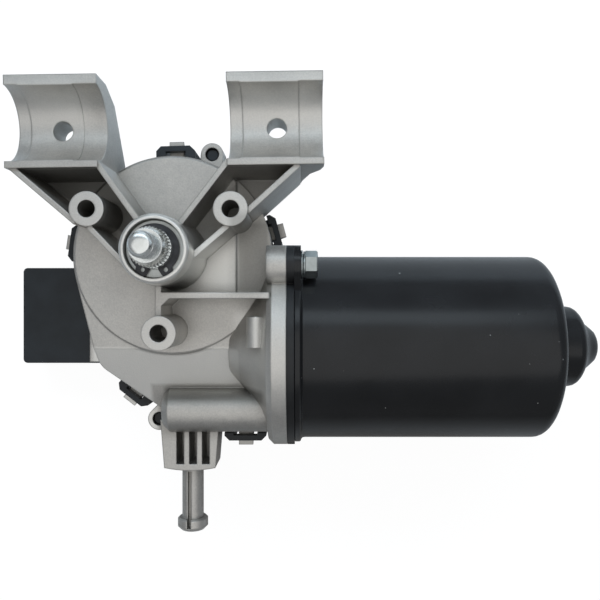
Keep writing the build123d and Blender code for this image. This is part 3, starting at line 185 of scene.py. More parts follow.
class Shader:
    """One material's node tree."""

    SAMPLES = 6
    EDGE_GAIN = 6.0

    def __init__(self, name: str) -> None:
        """Starts an empty material."""
        self.material = bpy.data.materials.new(name)
        self.material.use_nodes = True
        self.tree = self.material.node_tree
        self.tree.nodes.clear()

    def node(
        self, kind: str, settings: Optional[dict] = None, inputs: Optional[dict] = None
    ) -> bpy.types.Node:
        """Adds a node.

        Args:
            kind: the node's type.
            settings: properties that are set before the inputs.
            inputs: numbers, colours, signals or sockets, by the input's name or place.

        Returns:
            The node.
        """
        made = self.tree.nodes.new(kind)
        for key, value in (settings or {}).items():
            setattr(made, key, value)
        for key, value in (inputs or {}).items():
            target = made.inputs[key]
            if isinstance(value, Signal):
                self.tree.links.new(value.socket, target)
            elif isinstance(value, bpy.types.NodeSocket):
                self.tree.links.new(value, target)
            else:
                target.default_value = value
        return made

    def place(self) -> bpy.types.NodeSocket:
        """The Object coordinates, in metres."""
        return self.node("ShaderNodeTexCoord").outputs["Object"]

    def axes(self) -> tuple[Signal, Signal, Signal]:
        """The Object coordinates in millimetres, one signal for each axis."""
        parts = self.node("ShaderNodeSeparateXYZ", inputs={0: self.place()})
        return tuple(Signal(self, out) / MM for out in parts.outputs)

    def noise(self, size: float, detail: float = 3.0, stretch: Optional[Point3] = None) -> Signal:
        """A cloudy pattern.

        Args:
            size: the pattern's grain in millimetres.
            detail: how many finer layers it has.
            stretch: how much shorter the grain is along each axis.

        Returns:
            A value about one half.
        """
        where = self.place()
        if stretch:
            where = self.node("ShaderNodeMapping", inputs={"Vector": where, "Scale": stretch}).outputs[0]
        scale = 1.0 / (size * MM)
        made = self.node("ShaderNodeTexNoise", inputs={"Vector": where, "Scale": scale, "Detail": detail})
        return Signal(self, made.outputs[0])

    def cells(self, size: float) -> Signal:
        """The distance to scattered points, in units of their spacing in millimetres."""
        made = self.node("ShaderNodeTexVoronoi", inputs={"Vector": self.place(), "Scale": 1.0 / (size * MM)})
        return Signal(self, made.outputs["Distance"])

    def blend(self, factor: Value, first: Union[Colour, Signal], second: Union[Colour, Signal]) -> Signal:
        """A colour between two.

        Args:
            factor: 0 for the first colour and 1 for the second.
            first: a colour.
            second: a colour.

        Returns:
            The mixed colour.
        """
        # A Mix node's colours are its inputs 6 and 7 and its output 2.
        ends = [value if isinstance(value, Signal) else (*value, 1.0) for value in (first, second)]
        made = self.node("ShaderNodeMix", {"data_type": "RGBA"}, {0: factor, 6: ends[0], 7: ends[1]})
        return Signal(self, made.outputs[2])

    def soft_edges(self, radius: float) -> Signal:
        """Normals that round every edge by a radius in millimetres."""
        made = self.node("ShaderNodeBevel", {"samples": self.SAMPLES}, {"Radius": radius * MM})
        return Signal(self, made.outputs[0])

    def shelter(self, reach: float) -> Signal:
        """Where walls stand close by.

        Args:
            reach: how far off a wall counts, in millimetres.

        Returns:
            About 1 in a corner and 0 in the open.
        """
        made = self.node("ShaderNodeAmbientOcclusion", {"samples": self.SAMPLES}, {"Distance": reach * MM})
        return 1.0 - Signal(self, made.outputs["AO"])

    def edge_mask(self, rounded: Signal) -> Signal:
        """Where the rounded normals turn away from the flat ones.

        Args:
            rounded: the rounded normals.

        Returns:
            About 1 on edges and 0 elsewhere.
        """
        flat = self.node("ShaderNodeNewGeometry").outputs["Normal"]
        made = self.node("ShaderNodeVectorMath", {"operation": "DOT_PRODUCT"}, {0: rounded, 1: flat})
        return ((1.0 - Signal(self, made.outputs["Value"])) * self.EDGE_GAIN).held()

    def bump(self, height: Signal, depth: float, normal: Optional[Signal] = None) -> Signal:
        """Normals disturbed by a height pattern.

        Args:
            height: the pattern, 0 to 1.
            depth: its height in millimetres.
            normal: the normals that it adds to.

        Returns:
            The new normals.
        """
        inputs = {"Height": height, "Distance": depth * MM, "Strength": 1.0}
        if normal:
            inputs["Normal"] = normal
        return Signal(self, self.node("ShaderNodeBump", inputs=inputs).outputs[0])

    def close(
        self, colour: Value, roughness: Value, metallic: Value, normal: Optional[Signal], **fixed: float
    ) -> None:
        """Ends the tree in a surface.

        Args:
            colour: the base colour.
            roughness: the roughness.
            metallic: how metallic it is.
            normal: the normals.
            fixed: other sockets of the surface shader, by their names with underscores.
        """
        inputs = {"Base Color": colour, "Roughness": roughness, "Metallic": metallic}
        if normal:
            inputs["Normal"] = normal
        inputs.update({name.replace("_", " "): value for name, value in fixed.items()})
        surface = self.node("ShaderNodeBsdfPrincipled", inputs=inputs)
        self.node("ShaderNodeOutputMaterial", inputs={"Surface": surface.outputs[0]})


@dataclass(frozen=True)
class Patch:
    """A soft-edged rectangle in plan, in millimetres."""

    west: float
    east: float
    south: float
    north: float
    soft: float
    strength: float = 1.0

    def mask(self, x: Signal, y: Signal) -> Signal:
        """Its strength inside and 0 outside."""
        across = x.within(self.west, self.east, self.soft)
        return across * y.within(self.south, self.north, self.soft) * self.strength


@dataclass(frozen=True)
class Slant:
    """One side of a slanting line in plan, in millimetres along a direction."""

    across: float
    up: float
    start: float
    end: float

    def mask(self, x: Signal, y: Signal) -> Signal:
        """0 before the line and 1 past it."""
        return (x * self.across + y * self.up).step(self.start, self.end)


@dataclass(frozen=True)
class Pocket:
    """A corner between two slanting walls, in plan."""

    first: Slant
    second: Slant
    strength: float = 1.0

    def mask(self, x: Signal, y: Signal) -> Signal:
        """Its strength inside and 0 outside."""
        return self.first.mask(x, y) * self.second.mask(x, y) * self.strength


def greatest(shapes: Iterable[Union[Patch, Pocket]], x: Signal, y: Signal) -> Signal:
    """The largest mask of several shapes at each place.

    Args:
        shapes: the shapes in plan.
        x: the place across, in millimetres.
        y: the place up, in millimetres.

    Returns:
        One mask for all of them.
    """
    return reduce(Signal.greater, [shape.mask(x, y) for shape in shapes])


@dataclass(frozen=True)
class CastFinish:
    """Die-cast aluminium, with the machined seats brighter.

    Soft patches at fixed places in plan paint highlights and shade onto the skin; painted shade also darkens
    it where walls stand close together and in the low pockets beside the tower.
    """

    name: str = "cast_aluminium"
    skin: Colour = (0.66, 0.642, 0.61)
    shade: Colour = (0.46, 0.452, 0.437)
    # The tone of the machined seats and of the painted highlights.
    bright: Colour = (0.96, 0.952, 0.918)
    edge: Colour = (0.74, 0.725, 0.69)
    # The tone of all the painted shade: patches, corners and pockets.
    dark: Colour = (0.19, 0.185, 0.17)
    metallic: float = 0.94
    cloud_size: float = 14.0
    mottle_size: float = 2.2
    grain_size: float = 0.55
    pit_size: float = 0.35
    tone_weights: Point3 = (0.92, 0.69, 0.92)
    tone_base: float = -0.6205
    grain_depth: float = 0.06
    pit_share: float = 0.25
    edge_radius: float = 0.7
    edge_share: float = 0.55
    # Painted shade where walls stand close together, from ambient occlusion.
    nook_reach: float = 6.0
    nook_rise: Point2 = (0.12, 0.75)
    nook_shade_share: float = 0.58
    tower_top: Point2 = (-0.6, 0.2)
    tower_ring: Point3 = (9.35, 11.35, 0.15)
    seat_top: Point2 = (-0.12, -0.04)
    seat_ring: Point3 = (19.5, 33.5, 0.5)
    seat_share: float = 0.3
    machined_share: float = 0.8
    roof_rim: Point2 = (35.2, 36.4)
    # Painted highlights: soft patches made lighter where light falls on the casting, the plate's only
    # outside the round roof.
    plate_painted_highlights: tuple[Patch, ...] = (
        Patch(-34.0, -9.0, -66.0, -33.2, 0.9, 1.25),
        Patch(-12.0, 24.0, -46.5, -33.2, 0.9, 1.25),
    )
    painted_highlight_patches: tuple[Patch, ...] = (
        Patch(8.0, 22.5, -13.0, 5.0, 3.5),
        Patch(34.0, 44.0, -52.0, -8.0, 2.5, 0.3),
        Patch(22.5, 35.5, -50.0, -20.0, 2.0, 0.65),
        Patch(-60.0, -26.0, 43.0, 53.0, 4.0, 0.7),
        Patch(19.0, 60.0, 43.0, 53.0, 4.0, 0.6),
    )
    painted_highlight_share: float = 0.8
    # Painted shade: soft patches where the casting lies in shade.
    painted_shade_patches: tuple[Patch, ...] = (
        Patch(22.9, 34.5, -13.2, 12.0, 1.2),
        Patch(-4.0, 33.0, -52.6, -47.4, 1.2, 1.2),
        Patch(-9.0, 33.0, -66.0, -60.4, 1.6, 0.55),
    )
    painted_shade_share: float = 0.6
    # Painted shade, and more roughness, in the low pockets beside the tower.
    pockets: tuple[Pocket, ...] = (
        Pocket(Slant(-0.745, -0.667, -3.6, -2.4), Slant(0.521, 0.854, -3.2, -2.0)),
        Pocket(Slant(0.687, -0.725, -3.6, -2.4), Slant(-0.611, 0.792, -6.0, -4.8), 0.6),
    )
    pocket_top: Point2 = (-4.5, -1.5)
    pocket_south: Point2 = (1.0, 3.5)
    pocket_north: Point2 = (26.5, 27.5)
    pocket_shade_strength: float = 1.2
    roughness: float = 0.42
    pocket_roughness: float = 0.15
    mottle_roughness: float = 0.14
    edge_polish: float = 0.06
    machined_polish: float = 0.1

    def build(self) -> bpy.types.Material:
        """Makes the material.

        Returns:
            The material.
        """
        s = Shader(self.name)
        x, y, z = s.axes()
        clouds = s.noise(self.cloud_size, detail=4.0)
        mottle = s.noise(self.mottle_size, detail=3.0)
        grain = s.noise(self.grain_size, detail=2.0)
        rounded = s.soft_edges(self.edge_radius)
        edges = s.edge_mask(rounded)
        machined = self._machined(x, y, z)
        pockets = self._pockets(x, y, z)
        # Painted shade in corners where walls stand close.
        nook_shade = s.shelter(self.nook_reach).step(*self.nook_rise)
        # Painted shade patches.
        dark = (greatest(self.painted_shade_patches, x, y) * self.painted_shade_share).held()
        tones = [pattern * weight for pattern, weight in zip((clouds, mottle, grain), self.tone_weights)]
        colour = s.blend(sum(tones, self.tone_base).held(), self.shade, self.skin)
        # Over the skin: lighter edges, painted highlights, painted shade patches, the machined seats, then
        # painted shade in corners and pockets.
        layers = (
            (edges * self.edge_share, self.edge),
            (self._painted_highlights(x, y) * self.painted_highlight_share, self.bright),
            (dark, self.dark),
            (machined * self.machined_share, self.bright),
            (nook_shade.greater(pockets * self.pocket_shade_strength) * self.nook_shade_share, self.dark),
        )
        for mask, tone in layers:
            colour = s.blend(mask, colour, tone)
        rough = self.roughness + pockets * self.pocket_roughness + mottle * self.mottle_roughness
        rough = rough - edges * self.edge_polish - machined * self.machined_polish
        height = grain * (1.0 - self.pit_share) + s.cells(self.pit_size) * self.pit_share
        s.close(colour, rough, self.metallic, s.bump(height, self.grain_depth, rounded))
        return s.material

    def _machined(self, x: Signal, y: Signal, z: Signal) -> Signal:
        """The tower's turned rim and, more faintly, the seats around it.

        Args:
            x: the place across, in millimetres.
            y: the place up, in millimetres.
            z: the height, in millimetres.

        Returns:
            Their mask.
        """
        reach = (x * x + y * y).root()
        tower = z.step(*self.tower_top) * reach.within(*self.tower_ring)
        seats = z.step(*self.seat_top) * reach.within(*self.seat_ring)
        return tower.greater(seats * self.seat_share).held()

    def _painted_highlights(self, x: Signal, y: Signal) -> Signal:
        """The painted highlights, among them the plate's, which lie outside the round roof.

        Args:
            x: the place across, in millimetres.
            y: the place up, in millimetres.

        Returns:
            Their mask.
        """
        reach = (x * x + y * y).root()
        plate = greatest(self.plate_painted_highlights, x, y) * reach.step(*self.roof_rim)
        return greatest(self.painted_highlight_patches, x, y).greater(plate).held()

    def _pockets(self, x: Signal, y: Signal, z: Signal) -> Signal:
        """The low corners beside the tower, which take painted shade and more roughness.

        Args:
            x: the place across, in millimetres.
            y: the place up, in millimetres.
            z: the height, in millimetres.

        Returns:
            Their mask.
        """
        low = 1.0 - z.step(*self.pocket_top)
        span = y.step(*self.pocket_south) * (1.0 - y.step(*self.pocket_north))
        return low * span * greatest(self.pockets, x, y)


@dataclass(frozen=True)
class PaintFinish:
    """Satin black paint with a slight orange peel and stray dust."""

    name: str = "can_paint"
    coat: Colour = (0.0070, 0.0072, 0.0078)
    dusty: Colour = (0.0115, 0.0118, 0.0128)
    dust: Colour = (0.42, 0.42, 0.40)
    roughness: float = 0.2
    gloss: float = 1.41
    cloud_size: float = 22.0
    cloud_rise: Point2 = (0.35, 0.7)
    cloud_roughness: float = 0.07
    peel_size: float = 1.6
    peel_depth: float = 0.012
    speck_spacing: float = 4.2
    speck_fall: Point2 = (0.034, 0.06)
    speck_cloud_size: float = 9.0
    speck_cloud_rise: Point2 = (0.5, 0.58)
    speck_share: float = 0.7
    speck_roughness: float = 0.4

    def build(self) -> bpy.types.Material:
        """Makes the material.

        Returns:
            The material.
        """
        s = Shader(self.name)
        clouds = s.noise(self.cloud_size, detail=3.0)
        peel = s.noise(self.peel_size, detail=2.0)
        places = 1.0 - s.cells(self.speck_spacing).step(*self.speck_fall)
        specks = places * s.noise(self.speck_cloud_size, detail=2.0).step(*self.speck_cloud_rise)
        colour = s.blend(clouds.step(*self.cloud_rise), self.coat, self.dusty)
        colour = s.blend(specks * self.speck_share, colour, self.dust)
        rough = self.roughness + clouds * self.cloud_roughness + specks * self.speck_roughness
        s.close(colour, rough, 0.0, s.bump(peel, self.peel_depth), IOR=self.gloss, Coat_Weight=0.0)
        return s.material


@dataclass(frozen=True)
class PlainFinish:
    """A finish in two near tones, with lighter edges and a fine grain."""

    name: str
    light: Colour
    dark: Colour
    roughness: float = 0.3
    metallic: float = 0.0
    gloss: float = 1.5
    cloud_size: float = 8.0
    cloud_rise: Point2 = (0.3, 0.75)
    cloud_share: float = 0.8
    cloud_roughness: float = 0.1
    grain: float = 0.4
    grain_detail: float = 3.0
    depth: float = 0.01
    stretch: Optional[Point3] = None
    edge_radius: float = 0.3
    edge_share: float = 0.4
    edge_polish: float = 0.08

    def build(self) -> bpy.types.Material:
        """Makes the material.

        Returns:
            The material.
        """
        s = Shader(self.name)
        clouds = s.noise(self.cloud_size, detail=3.0)
        grain = s.noise(self.grain, self.grain_detail, self.stretch)
        rounded = s.soft_edges(self.edge_radius)
        edges = s.edge_mask(rounded)
        lightness = clouds.step(*self.cloud_rise) * self.cloud_share + edges * self.edge_share
        colour = s.blend(lightness.held(), self.dark, self.light)
        rough = self.roughness + clouds * self.cloud_roughness - edges * self.edge_polish
        s.close(colour, rough, self.metallic, s.bump(grain, self.depth, rounded), IOR=self.gloss)
        return s.material


@dataclass(frozen=True)
class MetalFinish(PlainFinish):
    """A plain metal: plated, ground, sintered or drawn."""

    metallic: float = 1.0
    cloud_size: float = 3.0
    cloud_rise: Point2 = (0.3, 0.7)
    cloud_share: float = 0.7
    grain: float = 0.3
    grain_detail: float = 2.0
    depth: float = 0.006
    edge_radius: float = 0.25
    edge_share: float = 0.3
    edge_polish: float = 0.05


@dataclass(frozen=True)
class PolymerFinish(PlainFinish):
    """A moulded plastic, a rubber or a pressed powder."""

    roughness: float = 0.45
    gloss: float = 1.41


Finish = Union[CastFinish, PaintFinish, MetalFinish, PolymerFinish]

FINISHES: tuple[Finish, ...] = (
    CastFinish(),
    PaintFinish(),
    PolymerFinish("cover_plastic", (0.019, 0.023, 0.027), (0.010, 0.0125, 0.015), 0.36, grain=0.6,
                  depth=0.006),
    PolymerFinish("seal_rubber", (0.018, 0.018, 0.018), (0.008, 0.008, 0.008), 0.7, grain=0.5, depth=0.02),
    PolymerFinish("carrier_plastic", (0.016, 0.017, 0.018), (0.007, 0.007, 0.008), 0.34),
    PolymerFinish("wheel_plastic", (0.78, 0.75, 0.66), (0.66, 0.62, 0.52), 0.35),
    PolymerFinish("pad_plastic", (0.72, 0.7, 0.66), (0.6, 0.58, 0.53), 0.4),
    PolymerFinish("ferrite", (0.1, 0.1, 0.11), (0.05, 0.05, 0.055), 0.65, grain=0.3, depth=0.03),
    PolymerFinish("carbon", (0.06, 0.06, 0.06), (0.025, 0.025, 0.025), 0.55, grain=0.25, depth=0.02),
    MetalFinish("contact_brass", (0.82, 0.62, 0.28), (0.6, 0.43, 0.18), 0.25),
    MetalFinish("plated_steel", (0.95, 0.98, 0.98), (0.78, 0.81, 0.8), 0.2, cloud_size=2.0, grain=0.4,
                depth=0.004),
    # A darker, rougher copy of the plated steel: painted shade for the washer deep in the tower's cup.
    MetalFinish("tower_dish", (0.66, 0.69, 0.68), (0.48, 0.5, 0.49), 0.38, cloud_size=2.0, grain=0.4),
    MetalFinish("zinc_screw", (0.54, 0.59, 0.59), (0.38, 0.42, 0.42), cloud_size=2.0, grain=0.4,
                depth=0.004),
    MetalFinish("plain_steel", (0.6, 0.6, 0.6), (0.42, 0.42, 0.43), cloud_size=4.0, stretch=(1.0, 8.0, 8.0)),
    MetalFinish("black_steel", (0.06, 0.06, 0.065), (0.02, 0.02, 0.022), 0.35, metallic=0.4),
    MetalFinish("sintered_bronze", (0.55, 0.36, 0.17), (0.32, 0.2, 0.1), 0.5, cloud_size=1.5, grain=0.25,
                depth=0.02),
    MetalFinish("lamination_steel", (0.36, 0.36, 0.37), (0.2, 0.2, 0.21), 0.5, metallic=0.9, grain=0.5,
                depth=0.03, stretch=(6.0, 1.0, 1.0)),
    MetalFinish("copper", (0.78, 0.36, 0.18), (0.5, 0.2, 0.09)),
    MetalFinish("breaker_case", (0.7, 0.7, 0.68), (0.5, 0.5, 0.49)),
)

# Nodes that take another finish than their slot's, with the finish's name.
SPECIAL: dict[str, str] = {"tower_washer": "tower_dish"}


class Meshes:
    """Ways to make meshes in millimetres in the part's own frame."""

    @staticmethod
    def piece(
        name: str, form: bmesh.types.BMesh, material: bpy.types.Material, crease: float = 32.0
    ) -> bpy.types.Object:
        """Ends a mesh as an object at the origin.

        Args:
            name: the piece's name.
            form: the mesh in millimetres.
            material: its finish.
            crease: the angle in degrees past which an edge stays sharp.

        Returns:
            The object.
        """
        bmesh.ops.remove_doubles(form, verts=form.verts, dist=MERGE)
        bmesh.ops.recalc_face_normals(form, faces=form.faces)
        bmesh.ops.scale(form, vec=(MM, MM, MM), verts=form.verts)
        mesh = bpy.data.meshes.new(name)
        form.to_mesh(mesh)
        form.free()
        mesh.materials.append(material)
        mesh.polygons.foreach_set("use_smooth", [True] * len(mesh.polygons))
        mesh.set_sharp_from_angle(angle=math.radians(crease))
        made = bpy.data.objects.new(name, mesh)
        bpy.context.scene.collection.objects.link(made)
        return made

    @staticmethod
    def lathe(
        form: bmesh.types.BMesh,
        outline: Sequence[Point2],
        origin: Point3,
        axis: Point3,
        out: Point3,
        steps: int,
        closed: bool = True,
    ) -> None:
        """Turns an outline about an axis.

        Args:
            form: the mesh that takes the new shape.
            outline: (distance along the axis, radius) points.
            origin: a point on the axis.
            axis: the axis's direction.
            out: the direction in which the outline is drawn.
            steps: divisions of the full turn.
            closed: whether the last point joins the first.
        """
        base, along, away = Vector(origin), Vector(axis), Vector(out)
        points = [form.verts.new(base + along * s + away * r) for s, r in outline]
        pairs = list(zip(points, points[1:]))
        if closed:
            pairs.append((points[-1], points[0]))
        edges = [form.edges.new(pair) for pair in pairs]
        bmesh.ops.spin(
            form, geom=points + edges, cent=base, axis=along, dvec=(0, 0, 0),
            angle=math.tau, steps=steps, use_merge=True, use_normal_flip=False, use_duplicate=False,
        )
        bmesh.ops.remove_doubles(form, verts=form.verts, dist=MERGE)

    @staticmethod
    def prism(form: bmesh.types.BMesh, outline: Iterable[Point3], move: Point3) -> None:
        """Extrudes a flat outline.

        Args:
            form: the mesh that takes the new shape.
            outline: the corners in order.
            move: the extrusion.
        """
        corners = [form.verts.new(p) for p in outline]
        face = form.faces.new(corners)
        grown = bmesh.ops.extrude_face_region(form, geom=[face])
        top = [g for g in grown["geom"] if isinstance(g, bmesh.types.BMVert)]
        bmesh.ops.translate(form, vec=move, verts=top)

    @staticmethod
    def round_bar(
        form: bmesh.types.BMesh, height: float, radius: float, place: Point3, levels: int, sides: int,
        shape: Callable[[float, float], float],
    ) -> None:
        """Adds an upright bar whose radius varies with the angle and the height.

        Args:
            form: the mesh that takes the new shape.
            height: the bar's height.
            radius: the bar's first radius.
            place: the middle of its foot.
            levels: divisions of its height.
            sides: divisions of its turn.
            shape: gives the radius from (angle, height over the foot).
        """
        bar = bmesh.new()
        bmesh.ops.create_cone(
            bar, cap_ends=True, segments=sides, radius1=radius, radius2=radius, depth=height,
            matrix=Matrix.Translation((0, 0, height / 2)),
        )
        sides_up = [e for e in bar.edges if abs(e.verts[0].co.z - e.verts[1].co.z) > height / 2]
        bmesh.ops.subdivide_edges(bar, edges=sides_up, cuts=levels - 1, use_grid_fill=True)
        for v in bar.verts:
            turn = math.atan2(v.co.y, v.co.x)
            r = shape(turn, v.co.z)
            v.co = Vector((r * math.cos(turn) + place[0], r * math.sin(turn) + place[1], v.co.z + place[2]))
        spare = bpy.data.meshes.new("spare")
        bar.to_mesh(spare)
        bar.free()
        form.from_mesh(spare)
        bpy.data.meshes.remove(spare)


@dataclass
class Wardrobe:
    """The finishes by slot, and how pieces and nodes take them."""

    materials: dict[str, bpy.types.Material] = field(default_factory=dict)

    def stock(self) -> None:
        """Makes every finish."""
        for finish in FINISHES:
            self.materials[finish.name] = finish.build()

    def dress_nodes(self) -> None:
        """Gives each carried-over node the finish of its slot, or its special one."""
        slots = {row["node"]: row["material_slot"] for row in frame["record"]["subparts"]}
        for name, node in frame["nodes"].items():
            material = self.materials[SPECIAL.get(name, slots[name])]
            if not node.material_slots:
                node.data.materials.append(material)
            for slot in node.material_slots:
                slot.material = material
            LOG.info("node %s takes %s", name, material.name)

    def fit(self, piece: bpy.types.Object, body: Body, slot: Slot, *nodes: str) -> None:
        """Hangs a new piece on its body.

        Args:
            piece: the new piece.
            body: the body that carries it.
            slot: the record's slot that it belongs to; not used.
            nodes: the nodes that it stands for.
        """
        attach(piece, body.value)
        if nodes:
            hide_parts(*nodes)
        LOG.info("piece %s rides on %s", piece.name, body.value)


@dataclass
class MotorCan:
    """The deep-drawn can with its lip, ears, rounded end and nose.

    The rows of points are (station along the motor, radius).
    """

    lip_start: float = 43.4
    lip_end: float = 45.6
    lip_radius: float = 34.6
    lip_mouth: float = 31.0
    lip_chamfer: float = 0.3
    lip_round: float = 0.4
    lip_fillet: tuple[Point2, ...] = ((0.15, 33.7), (0.6, 33.15))
    radius: float = 33.0
    tube_start: float = 47.0
    tube_end: float = 128.5
    shoulder: tuple[Point2, ...] = (
        (129.6, 32.9), (130.6, 32.55), (131.5, 31.95), (132.25, 31.1), (132.85, 30.0), (133.35, 28.6),
        (133.8, 26.8), (134.2, 24.6), (134.6, 22.0), (135.0, 19.0), (135.3, 16.6), (135.7, 15.5),
        (136.4, 14.9),
    )
    nose_radius: float = 14.7
    nose_start: float = 137.3
    nose_end: float = 143.6
    tip: tuple[Point2, ...] = (
        (144.6, 14.5), (145.5, 14.0), (146.3, 13.2), (147.0, 12.2), (147.7, 11.0), (148.4, 9.9),
        (149.2, 9.0), (150.6, 7.9), (152.2, 6.6), (153.0, 5.9), (153.6, 4.9), (153.92, 3.4),
        (153.99, 1.6), (153.99, 0.0),
    )
    inside: tuple[Point2, ...] = (
        (151.0, 0.0), (151.0, 6.0), (143.4, 8.0), (143.4, 12.7), (134.0, 12.7), (132.0, 25.0), (128.0, 31.0),
    )
    ear_radius: float = 6.4
    ear_steps: int = 24
    ear_root: float = 1.0
    ear_root_share: float = 1.25

    def outline(self) -> list[Point2]:
        """Draws the wall's section.

        Returns:
            Its points, outside first and then inside.
        """
        start, end, radius = self.lip_start, self.lip_end, self.lip_radius
        lip = [
            (start, self.lip_mouth), (start, radius - self.lip_chamfer), (start + self.lip_chamfer, radius),
            (end - self.lip_round, radius), (end, radius - self.lip_round),
            *((end + past, height) for past, height in self.lip_fillet),
        ]
        tube = [(self.tube_start, self.radius), (self.tube_end, self.radius), *self.shoulder]
        nose = [(self.nose_start, self.nose_radius), (self.nose_end, self.nose_radius), *self.tip]
        return [*lip, *tube, *nose, *self.inside]

    def build(self, material: bpy.types.Material) -> bpy.types.Object:
        """Makes the can.

        Args:
            material: its paint.

        Returns:
            The piece.
        """
        form = bmesh.new()
        Meshes.lathe(form, self.outline(), (0, MOTOR_Y, MOTOR_Z), ALONG, UPRIGHT, steps=128)
        for turn in (SCREW_ANGLE, SCREW_ANGLE + 180):
            self._ear(form, math.radians(turn))
        # The lip is flat underneath, level with the tube.
        lowest = MOTOR_Z - self.radius
        for v in form.verts:
            v.co.z = max(v.co.z, lowest)
        return Meshes.piece("can_shell", form, material, crease=40.0)

    def _ear(self, form: bmesh.types.BMesh, turn: float) -> None:
        """Adds one screw ear, a flat tongue with a round end.

        Args:
            form: the can's mesh.
            turn: the ear's place about the motor's axis, in radians.
        """
        out = Vector((0, math.cos(turn), math.sin(turn)))
        side = Vector((0, -math.sin(turn), math.cos(turn))) * self.ear_radius
        centre = Vector((self.lip_start, MOTOR_Y, MOTOR_Z)) + out * SCREW_CIRCLE
        bends = [math.pi * (n / self.ear_steps - 0.5) for n in range(self.ear_steps + 1)]
        corners = [centre + out * math.cos(a) * self.ear_radius + side * math.sin(a) for a in bends]
        root = centre - out * (SCREW_CIRCLE - self.radius + self.ear_root)
        corners += [root + side * self.ear_root_share, root - side * self.ear_root_share]
        Meshes.prism(form, corners, (self.lip_end - self.lip_start, 0, 0))


@dataclass
class ShaftEnd:
    """The output shaft, turned, serrated and threaded."""

    foot: float = -40.6
    foot_chamfer: float = 0.3
    tail_radius: float = 5.6
    tail_top: float = -30.3
    journal: float = 6.2
    groove: Point2 = (5.05, 6.35)
    groove_radius: float = 5.6
    groove_chamfer: float = 0.2
    serrations: int = 36
    serration_depth: float = 0.5
    serration_fade: float = 1.6
    band_foot: float = 10.4
    band_top: float = 14.6
    cone_top: float = 18.4
    cone_radius: float = 5.1
    thread_radius: float = 3.98
    thread_pitch: float = 1.25
    thread_depth: float = 0.6
    thread_runout: float = 0.5
    thread_top: float = 24.5
    dome: tuple[Point2, ...] = (
        (24.5, 3.45), (25.0, 3.3), (25.5, 2.95), (25.8, 2.3), (25.9, 1.4), (25.9, 0.0),
    )

    def build(self, material: bpy.types.Material) -> bpy.types.Object:
        """Makes the shaft.

        Args:
            material: its plating.

        Returns:
            The piece.
        """
        form = bmesh.new()
        low, high = self.groove
        body = [
            (self.foot, 0.0), (self.foot, self.tail_radius - self.foot_chamfer),
            (self.foot + self.foot_chamfer, self.tail_radius), (self.tail_top, self.tail_radius),
            (self.tail_top, self.journal), (low, self.journal), (low, self.groove_radius),
            (high, self.groove_radius), (high, self.journal - self.groove_chamfer),
            (high + self.groove_chamfer, self.journal), (self.band_foot, self.journal),
            (self.band_foot, 0.0),
        ]
        Meshes.lathe(form, body, (0, 0, 0), UPRIGHT, ALONG, steps=72, closed=False)
        Meshes.round_bar(
            form, self.cone_top - self.band_foot, self.journal, (0, 0, self.band_foot),
            levels=16, sides=self.serrations * 4, shape=self._band,
        )
        Meshes.round_bar(
            form, self.thread_top - self.cone_top, self.thread_radius, (0, 0, self.cone_top),
            levels=60, sides=48, shape=self._thread,
        )
        dome = [(self.thread_top, 0.0), *self.dome]
        Meshes.lathe(form, dome, (0, 0, 0), UPRIGHT, ALONG, steps=64, closed=False)
        return Meshes.piece("output_shaft_turned", form, material, crease=26.0)

    def _band(self, turn: float, height: float) -> float:
        """Shapes the serrated band and the cone above it.

        Args:
            turn: the angle about the shaft, in radians.
            height: the height over the band's foot.

        Returns:
            The radius there.
        """
        place = self.band_foot + height
        rise = max(0.0, place - self.band_top) / (self.cone_top - self.band_top)
        radius = self.journal + (self.cone_radius - self.journal) * rise
        wave = abs((turn * self.serrations / math.tau) % 1.0 * 2 - 1)
        return radius - self.serration_depth * wave * max(0.0, 1.0 - rise * self.serration_fade)

    def _thread(self, turn: float, height: float) -> float:
        """Shapes the thread, which fades out under the dome.

        Args:
            turn: the angle about the shaft, in radians.
            height: the height over the cone.

        Returns:
            The radius there.
        """
        phase = (height / self.thread_pitch - turn / math.tau) % 1.0
        wave = abs(phase * 2 - 1)
        left = min(1.0, (self.thread_top - self.cone_top - height) / self.thread_runout)
        return self.thread_radius - self.thread_depth * (1.0 - left * (1.0 - wave))


